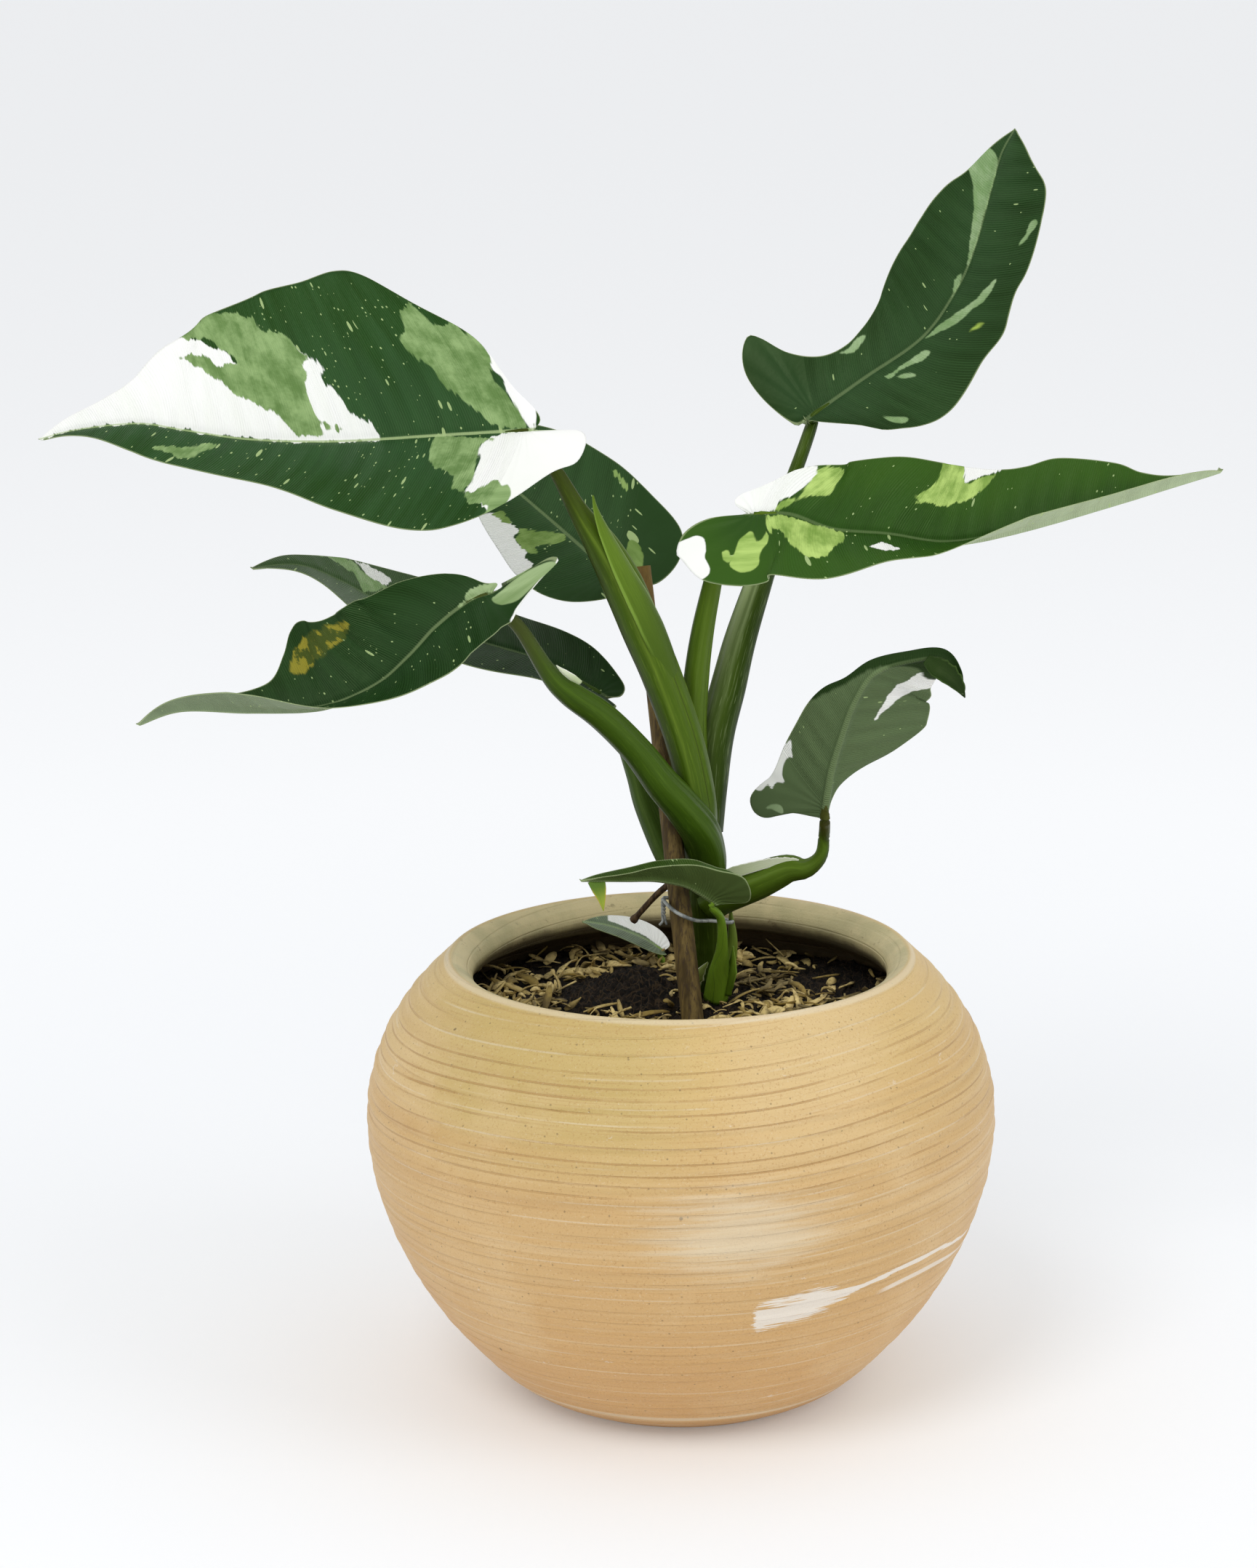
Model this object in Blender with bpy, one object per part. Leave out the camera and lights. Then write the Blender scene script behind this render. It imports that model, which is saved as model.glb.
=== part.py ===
"""A potted white princess philodendron: a thrown clay pot with soil, one stem on a stake and nine leaves.

Sizes are millimetres in this file and become metres where a mesh is made. +Z is up, the front is -Y,
and the origin is the centre of the pot's flat foot.
"""

import math
import random

import bmesh
import bpy
import numpy as np

MM = 0.001
GAP = 0.3

# The pot is 200 mm across its belly. Each pair is height, outer radius, from the foot up to the lip.
POT_OUTSIDE = (
    (0, 46), (6, 57), (16, 67.5), (32, 80.6), (52, 91.6), (74, 98.5), (96, 99.6), (116, 93.9), (131, 84),
    (142, 73.3),
)
# The rim slopes in from the lip to the throat, and is cut back a little under it.
POT_RIM = ((142, 71.5), (139.5, 68), (135.5, 65.6), (132, 66.8))
POT_WALL = 8
POT_FLOOR = 12
POT_FLOOR_EDGE = 52
POT_SIDES = 40
POT_LEVELS = (24, 36, 52, 68, 84, 98, 110)

# The mound is its place east and north, its height and its spread.
SOIL_TOP = 121
SOIL_RINGS = 8
SOIL_SIDES = 30
SOIL_WOBBLE = 1.2
SOIL_MOUND = (-13, 20, 8, 14)
# What stands in the soil: the low and the high end of its hole, the hole's radius and its sides.
SOIL_HOLES = (
    ((9, 17, 83), (9, 17, 136), 5.4, 16),
    ((10.1, -18.2, 61), (1.9, -4.5, 143), 4.3, 16),
    ((-4, 52, 110), (-4.5, 51, 128), 2.5, 12),
    ((11.5, 9, 110), (11.5, 9, 134), 5.0, 16),
    ((15.5, 16.5, 112), (15.5, 16.5, 134), 3.2, 12),
)
# Where no shaving lies: a place east and north, and the bare radius round it.
BARE_PLACES = ((9, 17, 14), (3, -8, 12), (-5, 51, 8), (15, 17, 10))
SHAVINGS = 26
SHAVING_REACH = 68
SHAVING_LONG = (4, 7)
SHAVING_WIDE = (1.1, 1.8)
SHAVING_HIGH = (0.8, 1.3)

BLADE_THICKNESS = 0.9
MIDRIB_HEIGHT = 1.0
VEIN_LEAN = 0.45
STALK_SIDES = 10
STALK_SPACING = 7
STALK_GAP = 0.4
# How far under the blade the stalk turns down.
STALK_KNEE = 4.5

# The stake and the stem, as the points of their centre lines.
STAKE_PATH = ((10, -18, 62), (4, -8, 122), (-11, 22, 262))
STAKE_RADII = (3.7, 3.6, 2.8)
STEM_PATH = ((9, 17, 84), (9, 17, 122), (9, 17, 139), (8, 15, 156), (8, 15, 176), (7, 15, 190))
STEM_RADII = (4.6, 4.8, 4.8, 4.8, 4.6, 3.4)
WIRE_PATH = (
    (-5, 1, 159), (-1, -7, 157), (5, -6, 154), (10, 4, 151), (15, 9, 149),
    (17, 17, 147), (13, 25, 146), (5, 26, 149), (-2, 16, 155),
)
WIRE_RADIUS = 0.6
OLD_STALK_PATH = ((1, 19, 162), (-7, 22, 155), (-15, 26, 145))
OLD_STALK_RADII = (1.2, 1.0, 0.9)
BASE_SHEATH_PATH = ((15, 16, 124), (16, 17, 132), (17, 18, 141), (16.5, 19, 150))
BASE_SHEATH_RADII = (1.5, 2.2, 1.7, 0.5)

# Each leaf. mid runs along the midrib from the stalk to the tip. left and right are the flat half
# outlines: distance along the midrib, width. rise is how many degrees each half stands above the plane
# square to face, at equal steps along the midrib. stalk runs from the blade down to the stem.
LEAVES = {
    "leaf_a": dict(
        mid=((-43, -8, 310), (-73, -12, 309), (-103, -15, 308), (-129, -16, 309), (-149, -16, 312),
             (-163, -15, 314), (-182, -13, 312), (-194, -12, 309)),
        left=((-8, 0.5), (-14, 2), (-15, 7), (-11, 16), (-3, 20), (12, 32), (28, 41), (40, 41), (61, 31),
              (80, 21), (108, 16), (122, 12), (138, 4)),
        right=((-2, 3), (0, 7), (6, 14), (16, 29), (32, 40), (49, 52), (60, 54), (73, 50), (88, 46),
               (104, 38),
               (116, 26), (123, 14), (132, 8), (143, 4)),
        left_rise=(-33, -33, -30), right_rise=(78, 74, 66), right_curl=-3, grid=(20, 5),
        stalk=((-37, -5, 297), (-30, -4, 284), (-23, -3, 273), (-17, -1, 261), (-11, 0, 246), (-5, 1, 231),
               (2, 2, 210), (6, 5, 190), (7, 9, 177), (8, 13, 168)),
        radii=(2.1, 3.0, 5.3, 6.4, 6.4, 6.2, 6.0, 5.8, 5.4, 4.8),
    ),
    "leaf_b": dict(
        mid=((-19, 32, 256), (-33, 38, 268), (-50, 44, 282), (-65, 50, 294), (-77, 54, 300)),
        left=((-3, 3), (-2, 8), (5, 17), (14, 22), (24, 23), (34, 20), (45, 16), (57, 10), (66, 5)),
        right=((-5, 2), (-10, 9), (-9, 20), (-2, 28), (12, 30), (28, 31), (45, 28), (58, 20), (68, 9)),
        left_rise=(-42, -42, -40), right_rise=(42, 42, 40), grid=(13, 4),
        stalk=((-15, 31, 245), (-9, 30, 232), (-4, 28, 218), (0, 26, 199), (4, 23, 183), (7, 19, 172)),
        radii=(2.2, 2.5, 3.0, 3.4, 3.8, 3.6),
    ),
    "leaf_c": dict(
        mid=((-55, -40, 266), (-62, -43, 264), (-72, -48, 257), (-80, -52, 249), (-90, -55, 241),
             (-106, -57, 235), (-127, -56, 234), (-148, -54, 234), (-162, -52, 229)),
        left=((-9, 1), (-19, 2), (-21, 5), (-13, 7), (-5, 10), (4, 15), (24, 18), (38, 16), (52, 14),
              (65, 13),
              (80, 12), (95, 9), (108, 5)),
        right=((-2, 2), (3, 4), (10, 11), (22, 18), (36, 24), (53, 26), (69, 29), (74, 26), (76, 18),
               (80, 9),
               (92, 5), (106, 3)),
        left_rise=(-35, -20, 5, 40, 50), right_rise=(72, 66, 55, 45, 40), lobes=(18, 0), grid=(20, 5),
        stalk=((-48, -37, 255), (-39, -31, 239), (-33, -27, 232), (-23, -20, 223), (-13, -13, 211),
               (-5, -8, 199),
               (1, -4, 191), (7, 2, 181), (9, 8, 171), (9, 13, 161)),
        radii=(2.0, 2.8, 4.0, 4.6, 4.8, 5.5, 6.0, 6.6, 7.0, 6.6),
    ),
    "leaf_d": dict(
        mid=((-23, 28, 219), (-42, 34, 229), (-66, 38, 236), (-89, 38, 245), (-107, 34, 256),
             (-120, 30, 262),
             (-135, 26, 262)),
        left=((-5, 2), (-3, 5), (6, 7), (19, 12), (45, 18), (67, 24), (86, 27), (97, 20), (108, 7)),
        right=((-4, 3), (-2, 8), (10, 13), (22, 15), (38, 17), (55, 20), (76, 18), (93, 12), (106, 6),
               (115, 4)),
        left_rise=(-15, -12, -12), right_rise=(32, 30, 30), grid=(15, 4),
        stalk=((-20, 29, 211), (-17, 28, 204), (-13, 27, 193), (-10, 25, 183), (-3, 21, 167), (5, 18, 157)),
        radii=(2.2, 2.8, 3.6, 4.0, 4.2, 4.0),
    ),
    "leaf_e": dict(
        mid=((41, 30, 307), (59, 34, 319), (78, 36, 332), (89, 36, 348), (94, 34, 361), (98, 31, 377),
             (101, 28, 389), (105, 26, 397)),
        left=((-4, 1), (-7, 12), (-7, 22), (-4, 29), (1, 33), (4, 30), (8, 21), (15, 14), (23, 12),
              (31, 14),
              (47, 20), (64, 22), (82, 19), (92, 15), (100, 9), (109, 4)),
        right=((3, 4), (12, 14), (18, 21), (29, 26), (38, 27), (50, 23), (60, 24), (71, 21), (80, 22),
               (99, 21),
               (108, 18), (114, 9)),
        face=(-0.42, -0.85, 0.32), left_rise=(14, 14, 10), right_rise=(10, 14, 10), left_curl=-3,
        right_curl=-3, grid=(20, 5),
        stalk=((40, 30, 297), (37, 29, 289), (33, 28, 278), (30, 27, 267), (26, 26, 256), (20, 24, 238),
               (16, 22, 223), (12, 20, 208), (10, 19, 192), (9, 18, 177)),
        radii=(2.1, 2.2, 2.4, 3.6, 4.4, 5.2, 5.8, 6.0, 5.8, 5.2),
    ),
    "leaf_f": dict(
        mid=((22, 2, 282), (35, 0, 282), (48, -4, 278), (65, -8, 277), (83, -11, 275), (104, -14, 279),
             (132, -16, 287), (148, -16, 292), (166, -14, 297)),
        left=((-4, 3), (-2, 6), (8, 10), (20, 19), (41, 24), (52, 25), (67, 24), (83, 20), (92, 19),
              (103, 19),
              (119, 13), (126, 7), (134, 3)),
        right=((-12, 2), (-19, 7), (-21, 14), (-19, 17), (-12, 24), (0, 26), (14, 25), (30, 21), (48, 15),
               (68, 12), (88, 10), (108, 8), (130, 5), (142, 3)),
        left_rise=(70, 66, 60, 50), right_rise=(-50, -35, -12, 25, 38, 40), grid=(20, 5),
        stalk=((17, 6, 274), (13, 8, 267), (11, 10, 258), (8, 12, 243), (6, 13, 228), (5, 14, 212),
               (6, 15, 195), (7, 16, 180)),
        radii=(2.0, 2.4, 3.0, 3.6, 4.0, 4.2, 4.2, 3.8),
    ),
    "leaf_g": dict(
        mid=((46, 8, 184), (48, 4, 199), (51, 0, 211), (55, -5, 224), (61, -9, 234), (72, -10, 238),
             (82, -12, 239), (87, -15, 234), (88, -18, 228)),
        left=((1, 1), (6, 2), (11, 4), (16, 8), (20, 12), (28, 20), (39, 27), (46, 27), (62, 22), (66, 16),
              (73, 9), (83, 5)),
        right=((-2, 2), (-5, 8), (-8, 12), (-13, 16), (-14, 20), (-12, 23), (-9, 24), (-4, 23), (4, 20),
               (13, 18), (22, 16), (32, 14), (40, 11), (48, 6), (56, 4), (68, 3), (82, 3)),
        face=(0.1, 0.9, 0.4), left_rise=(25, 20, 10), right_rise=(25, 20, 10), even=0.5, grid=(15, 4),
        stalk=((46, 8, 177), (45, 9, 170), (40, 10, 165.5), (34, 11, 166), (25, 12, 162), (15, 13, 158),
               (9, 15, 154)),
        radii=(1.8, 2.0, 2.7, 4.0, 5.4, 6.4, 6.4),
    ),
    "leaf_h": dict(
        mid=((12, -11, 161), (7, -13, 165), (2, -14, 168), (-7, -15, 170), (-16, -15, 170), (-24, -15, 170),
             (-31, -15, 170)),
        left=((-3, 3), (-6, 8), (-2, 13), (4, 15), (12, 12), (21, 8), (31, 4)),
        right=((-3, 3), (-8, 9), (-5, 14), (4, 12), (14, 9), (26, 6), (38, 3)),
        left_rise=(45, 45, 35), right_rise=(50, 38, 25), grid=(10, 3),
        stalk=((13, -8, 155), (13.5, -2, 144), (12.5, 5, 133), (11.5, 9, 124)),
        radii=(1.3, 1.8, 3.6, 4.0),
    ),
    "leaf_i": dict(
        mid=((-5, 50, 128), (-13, 50, 133), (-23, 49, 137), (-32, 48, 139)),
        left=((-1, 2), (3, 5), (10, 7), (18, 6), (25, 4)),
        right=((-1, 4), (2, 7), (8, 8), (15, 7), (23, 4)),
        left_rise=(-15, -15, -15), right_rise=(25, 25, 25), grid=(7, 3),
        stalk=((-4.5, 51, 122), (-4, 52, 112)),
        radii=(1.0, 1.1),
    ),
}

# Each stalk is cut clear of those before it.
CARVING_ORDER = ("leaf_c", "leaf_h", "leaf_g", "leaf_a", "leaf_e", "leaf_f", "leaf_b", "leaf_d", "leaf_i")

COLOURS = {
    "pot": ((0.62, 0.42, 0.22), 0.55),
    "soil": ((0.05, 0.035, 0.025), 0.95),
    "stake": ((0.22, 0.13, 0.06), 0.8),
    "stem": ((0.07, 0.14, 0.03), 0.5),
    "wire": ((0.45, 0.47, 0.5), 0.4),
    "old_stalk": ((0.12, 0.07, 0.03), 0.8),
    "sheath": ((0.25, 0.35, 0.08), 0.5),
    "blade": ((0.03, 0.1, 0.035), 0.4),
    "stalk": ((0.14, 0.27, 0.05), 0.4),
}


def material(name, kind):
    colour, roughness = COLOURS[kind]
    made = bpy.data.materials.new(name)
    made.use_nodes = True
    shader = made.node_tree.nodes["Principled BSDF"]
    shader.inputs["Base Color"].default_value = (*colour, 1)
    shader.inputs["Roughness"].default_value = roughness
    shader.inputs["Metallic"].default_value = 1.0 if kind == "wire" else 0.0
    return made


def add_object(name, points, faces, kind):
    """An object from points in millimetres."""
    mesh = bpy.data.meshes.new(name)
    mesh.from_pydata([tuple(p * MM for p in point) for point in points], [], faces)
    mesh.validate()
    obj = bpy.data.objects.new(name, mesh)
    bpy.context.scene.collection.objects.link(obj)
    mesh.materials.append(material(name, kind))
    mesh.shade_smooth()
    mesh.set_sharp_from_angle(angle=math.radians(50))
    return obj


def smooth_path(points, per_span=16):
    """A smooth curve through the points, sampled evenly between each two."""
    given = np.asarray(points, float)
    given = np.vstack([2 * given[0] - given[1], given, 2 * given[-1] - given[-2]])
    steps = np.arange(per_span)[:, None] / per_span
    spans = []
    for a, b, c, d in zip(given, given[1:], given[2:], given[3:]):
        bend = (2 * a - 5 * b + 4 * c - d) * steps**2 + (3 * b - a - 3 * c + d) * steps**3
        spans.append(0.5 * (2 * b + (c - a) * steps + bend))
    return np.vstack([*spans, given[-2:-1]])


def lengths_along(path):
    return np.concatenate([[0], np.cumsum(np.linalg.norm(np.diff(path, axis=0), axis=1))])


def at_lengths(path, lengths, wanted):
    columns = [np.interp(wanted, lengths, path[:, k]) for k in range(path.shape[1])]
    return np.stack(columns, -1)


def unit(vectors):
    return vectors / np.linalg.norm(vectors, axis=-1, keepdims=True)


class Blade:
    """A leaf's surface: a flat shape folded and curled along its midrib."""

    def __init__(self, spec):
        self.path = smooth_path(spec["mid"])
        self.along = lengths_along(self.path)
        self.length = self.along[-1]
        even = spec.get("even", 0)
        chord = unit(self.path[-1] - self.path[0])
        self.tangents = unit(np.gradient(self.path, self.along, axis=0))
        self.tangents = unit(self.tangents * (1 - even) + chord * even)
        self.face = np.asarray(spec.get("face", (0, 0, 1)), float)
        self.rises = (spec["left_rise"], spec["right_rise"])
        self.curls = (spec.get("left_curl", 0), spec.get("right_curl", 0))
        self.lobes = spec.get("lobes", (0, 0))
        self.outlines = (spec["left"], spec["right"])

    def place(self, s, w):
        """The point s along the midrib and w to its left, or to its right where w is negative."""
        s, w = np.asarray(s, float), np.asarray(w, float)
        inside = np.clip(s, 0, self.length)
        tangent = unit(at_lengths(self.tangents, self.along, inside))
        across = unit(np.cross(self.face, tangent))
        lift = np.cross(tangent, across)
        left = w >= 0
        centre = at_lengths(self.path, self.along, inside) + tangent * (s - inside)[..., None]
        tilt = np.radians(np.where(left, *self.lobes))
        centre = centre + lift * (np.maximum(-s, 0) * np.sin(tilt))[..., None]
        rises = []
        for given in self.rises:
            rises.append(np.interp(inside / self.length, np.linspace(0, 1, len(given)), given))
        start = np.radians(np.where(left, *rises))
        bend = np.radians(np.where(left, *self.curls)) / 10 + 1e-7
        turned = start + bend * np.abs(w)
        out = (np.sin(turned) - np.sin(start)) / bend
        up = (np.cos(start) - np.cos(turned)) / bend
        return centre + across * (np.where(left, 1, -1) * out)[..., None] + lift * up[..., None]

    def margin(self, outline, stations, lobe_rows):
        """The margin's flat points, one for each vein that leaves the midrib at a station."""
        edge = smooth_path(((0, 0), *outline, (self.length, 0)), 12)
        edge[:, 1] = np.maximum(edge[:, 1], 0)
        lead = edge[:, 0] - VEIN_LEAN * edge[:, 1]
        last = np.nonzero(lead <= stations[lobe_rows])[0][-1]
        lobe = edge[: last + 1]
        along = lengths_along(lobe)
        first = at_lengths(lobe, along, np.linspace(0, along[-1], lobe_rows + 1))
        rest = np.maximum.accumulate(lead[last:]) + np.arange(len(lead) - last) * 1e-6
        share = np.interp(stations[lobe_rows + 1 :], rest, np.arange(len(rest)))
        return np.vstack([first, at_lengths(edge[last:], np.arange(len(rest)), share)])


def blade_grid(blade, rows, columns):
    """The blade's middle surface: rows of points from the left margin to the right, and the two ends."""
    lobe_rows = max(3, rows // 4)
    start = np.arange(lobe_rows + 1) * 0.8
    rest = np.linspace(start[-1], blade.length, rows - lobe_rows + 1)[1:]
    stations = np.concatenate([start, rest])
    steps = np.linspace(1, 0, columns + 1)[:-1]
    flat = []
    left = blade.margin(blade.outlines[0], stations, lobe_rows)
    right = blade.margin(blade.outlines[1], stations, lobe_rows)
    for station, near, far in zip(stations[1:-1], left[1:-1], right[1:-1]):
        row = [(station + (near[0] - station) * v**1.3, max(near[1] * v, 0.02)) for v in steps]
        row.append((station, 0))
        row += [(station + (far[0] - station) * v**1.3, -max(far[1] * v, 0.02)) for v in steps[::-1]]
        flat.append(row)
    flat = np.array(flat)
    grid = blade.place(flat[..., 0], flat[..., 1])
    ends = blade.place(np.array([0, blade.length]), np.array([0, 0]))
    return grid, ends


def blade_mesh(blade, rows, columns, grow=0.0):
    """Points and triangles of the solid blade, split alike on both faces, thicker along the midrib."""
    grid, ends = blade_grid(blade, rows, columns)
    wide = grid.shape[1]
    middle = np.vstack([grid.reshape(-1, 3), ends])
    base, tip = len(middle) - 2, len(middle) - 1
    sheet = []
    for i in range(grid.shape[0] - 1):
        for j in range(wide - 1):
            a, b = i * wide + j, i * wide + j + 1
            c, d = a + wide, b + wide
            sheet += [(a, c, b), (b, c, d)] if j >= wide // 2 else [(a, d, b), (a, c, d)]
    top = (grid.shape[0] - 1) * wide
    for j in range(wide - 1):
        sheet.append((base, j, j + 1))
        sheet.append((tip, top + j + 1, top + j))
    sheet = np.array(sheet)
    corners = middle[sheet]
    facing = np.cross(corners[:, 1] - corners[:, 0], corners[:, 2] - corners[:, 0])
    normals = np.zeros_like(middle)
    for k in range(3):
        np.add.at(normals, sheet[:, k], facing)
    normals = unit(normals)
    half = BLADE_THICKNESS / 2 + grow
    below = np.full(len(middle), half)
    rows_made = grid.shape[0]
    for i in range(4, rows_made):
        below[i * wide + wide // 2] += MIDRIB_HEIGHT * (1 - i / rows_made)
    above = middle + normals * half
    under = middle - normals * below[:, None]
    edge = [base, *range(0, rows_made * wide, wide), tip]
    edge += [i * wide + wide - 1 for i in range(rows_made - 1, -1, -1)]
    count = len(middle)
    faces = [tuple(int(v) for v in face) for face in sheet]
    faces += [tuple(int(v) + count for v in face[::-1]) for face in sheet]
    for a, b in zip(edge, edge[1:] + edge[:1]):
        faces += [(b, a, a + count), (b, a + count, b + count)]
    return np.vstack([above, under]), faces


def tube_mesh(points, radii, sides=STALK_SIDES, spacing=STALK_SPACING, closed=False, grow=0.0):
    """A tube along a smooth curve, its ends closed, or a ring where closed is set."""
    given = np.asarray(points, float)
    if closed:
        path = smooth_path(np.vstack([given[-1:], given, given[:2]]))[16:-16]
    else:
        path = smooth_path(given)
    along = lengths_along(path)
    count = max(3, round(along[-1] / spacing)) + 1
    wanted = np.linspace(0, along[-1], count)
    knots = np.interp(np.arange(len(given)) * 16, np.arange(len(path)), along)
    width = np.full(count, radii[0]) if closed else np.interp(wanted, knots, radii)
    centres = at_lengths(path, along, wanted)
    tangents = unit(np.gradient(centres, axis=0))
    if closed:
        centres, tangents, width = centres[:-1], tangents[:-1], width[:-1]
    side = unit(np.cross(tangents, (0.13, 1.0, 0.21)))
    rise = np.cross(side, tangents)
    turn = np.arange(sides) * 2 * math.pi / sides
    rings = centres[:, None, :] + (width + grow)[:, None, None] * (
        np.cos(turn)[None, :, None] * side[:, None, :] + np.sin(turn)[None, :, None] * rise[:, None, :]
    )
    made = rings.reshape(-1, 3)
    faces = []
    last = len(centres) if closed else len(centres) - 1
    for i in range(last):
        a, b = i * sides, (i + 1) % len(centres) * sides
        for j in range(sides):
            k = (j + 1) % sides
            faces.append((a + j, a + k, b + k, b + j))
    if not closed:
        faces.append(tuple(range(sides))[::-1])
        faces.append(tuple(range(made.shape[0] - sides, made.shape[0])))
    return made, faces


def outward(obj):
    """Turns the faces out."""
    shape = bmesh.new()
    shape.from_mesh(obj.data)
    bmesh.ops.recalc_face_normals(shape, faces=shape.faces)
    if shape.calc_volume(signed=True) < 0:
        bmesh.ops.reverse_faces(shape, faces=shape.faces)
    shape.to_mesh(obj.data)
    shape.free()


def apply_modifiers(obj):
    graph = bpy.context.evaluated_depsgraph_get()
    mesh = bpy.data.meshes.new_from_object(obj.evaluated_get(graph))
    obj.modifiers.clear()
    obj.data = mesh


def keep_largest(obj):
    """Drops what a cut left loose, and keeps the body with the most faces."""
    shape = bmesh.new()
    shape.from_mesh(obj.data)
    shape.faces.ensure_lookup_table()
    left = set(shape.faces)
    bodies = []
    while left:
        body = set()
        reach = [left.pop()]
        while reach:
            face = reach.pop()
            body.add(face)
            for edge in face.edges:
                for other in edge.link_faces:
                    if other in left:
                        left.remove(other)
                        reach.append(other)
        bodies.append(body)
    bodies.sort(key=len)
    loose = [face for body in bodies[:-1] for face in body]
    bmesh.ops.delete(shape, geom=loose, context="FACES")
    shape.to_mesh(obj.data)
    shape.free()


def carve(obj, cutters):
    """Cuts each swollen neighbour out of the object, so that a gap stays between them."""
    for points, faces in cutters:
        cutter = add_object("cutter", points, faces, "stem")
        outward(cutter)
        cutter.hide_render = True
        cutter.display_type = "WIRE"
        cut = obj.modifiers.new("clearance", "BOOLEAN")
        cut.operation = "DIFFERENCE"
        cut.object = cutter
        bpy.context.view_layer.update()
        apply_modifiers(obj)
        bpy.data.objects.remove(cutter)
    keep_largest(obj)


def pot_profile():
    """Height and radius pairs, from the middle of the floor inside, over the lip and down to the foot."""
    outside = smooth_path(POT_OUTSIDE, 2)
    heights, radii = outside[:, 0], outside[:, 1]
    inner = [(POT_FLOOR, 0), (POT_FLOOR, POT_FLOOR_EDGE - POT_WALL), (POT_FLOOR + 3, POT_FLOOR_EDGE)]
    for height in (*POT_LEVELS, SOIL_TOP, 128):
        inner.append((height, float(np.interp(height, heights, radii)) - POT_WALL))
    rim = list(POT_RIM[::-1])
    outer = [tuple(map(float, pair)) for pair in outside[::-1]]
    return inner + rim + outer + [(0, 0)]


def inner_radius(height):
    outside = smooth_path(POT_OUTSIDE, 2)
    return float(np.interp(height, outside[:, 0], outside[:, 1])) - POT_WALL


def turned(name, profile, sides, kind):
    """A solid turned round Z from height and radius pairs that start and end on the axis."""
    points, faces, rings = [], [], []
    for height, radius in profile:
        if radius == 0:
            rings.append([len(points)])
            points.append((0, 0, height))
            continue
        rings.append(list(range(len(points), len(points) + sides)))
        for j in range(sides):
            turn = 2 * math.pi * j / sides
            points.append((radius * math.cos(turn), radius * math.sin(turn), height))
    for low, high in zip(rings, rings[1:]):
        for j in range(sides):
            k = (j + 1) % sides
            face = (low[j % len(low)], low[k % len(low)], high[k % len(high)], high[j % len(high)])
            faces.append(tuple(dict.fromkeys(face)))
    obj = add_object(name, points, faces, kind)
    outward(obj)
    return obj


def soil_height(x, y, wobble):
    """The soil's surface: nearly level, with one low mound behind and left of the stake."""
    east, north, high, spread = SOIL_MOUND
    mound = high * math.exp(-((x - east) ** 2 + (y - north) ** 2) / (2 * spread**2))
    return SOIL_TOP + mound + 0.8 * math.sin(x / 9) * math.cos(y / 11) + wobble


def soil_body():
    draw = random.Random(7)
    edge = inner_radius(SOIL_TOP) - GAP
    points, faces = [(0, 0, soil_height(0, 0, 0))], []
    for ring in range(1, SOIL_RINGS + 1):
        radius = edge * ring / SOIL_RINGS
        for j in range(SOIL_SIDES):
            turn = 2 * math.pi * j / SOIL_SIDES
            x, y = radius * math.cos(turn), radius * math.sin(turn)
            wobble = draw.uniform(-SOIL_WOBBLE, SOIL_WOBBLE)
            high = SOIL_TOP - 1 if ring == SOIL_RINGS else soil_height(x, y, wobble)
            points.append((x, y, high))
    sides = [(height, inner_radius(height) - GAP) for height in POT_LEVELS[::-1]]
    sides += [(POT_FLOOR + 3, POT_FLOOR_EDGE - 0.5), (POT_FLOOR + GAP, POT_FLOOR_EDGE - POT_WALL - 1)]
    for height, radius in sides:
        fit = radius * math.cos(math.pi / POT_SIDES)
        for j in range(SOIL_SIDES):
            turn = 2 * math.pi * j / SOIL_SIDES
            points.append((fit * math.cos(turn), fit * math.sin(turn), height))
    points.append((0, 0, POT_FLOOR + GAP))
    rings = SOIL_RINGS + len(sides)
    for j in range(SOIL_SIDES):
        faces.append((0, 1 + j, 1 + (j + 1) % SOIL_SIDES))
        for ring in range(rings - 1):
            a, b = 1 + ring * SOIL_SIDES, 1 + (ring + 1) * SOIL_SIDES
            k = (j + 1) % SOIL_SIDES
            faces.append((a + j, b + j, b + k, a + k))
        low = 1 + (rings - 1) * SOIL_SIDES
        faces.append((low + j, len(points) - 1, low + (j + 1) % SOIL_SIDES))
    obj = add_object("soil", points, faces, "soil")
    outward(obj)
    return obj


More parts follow.
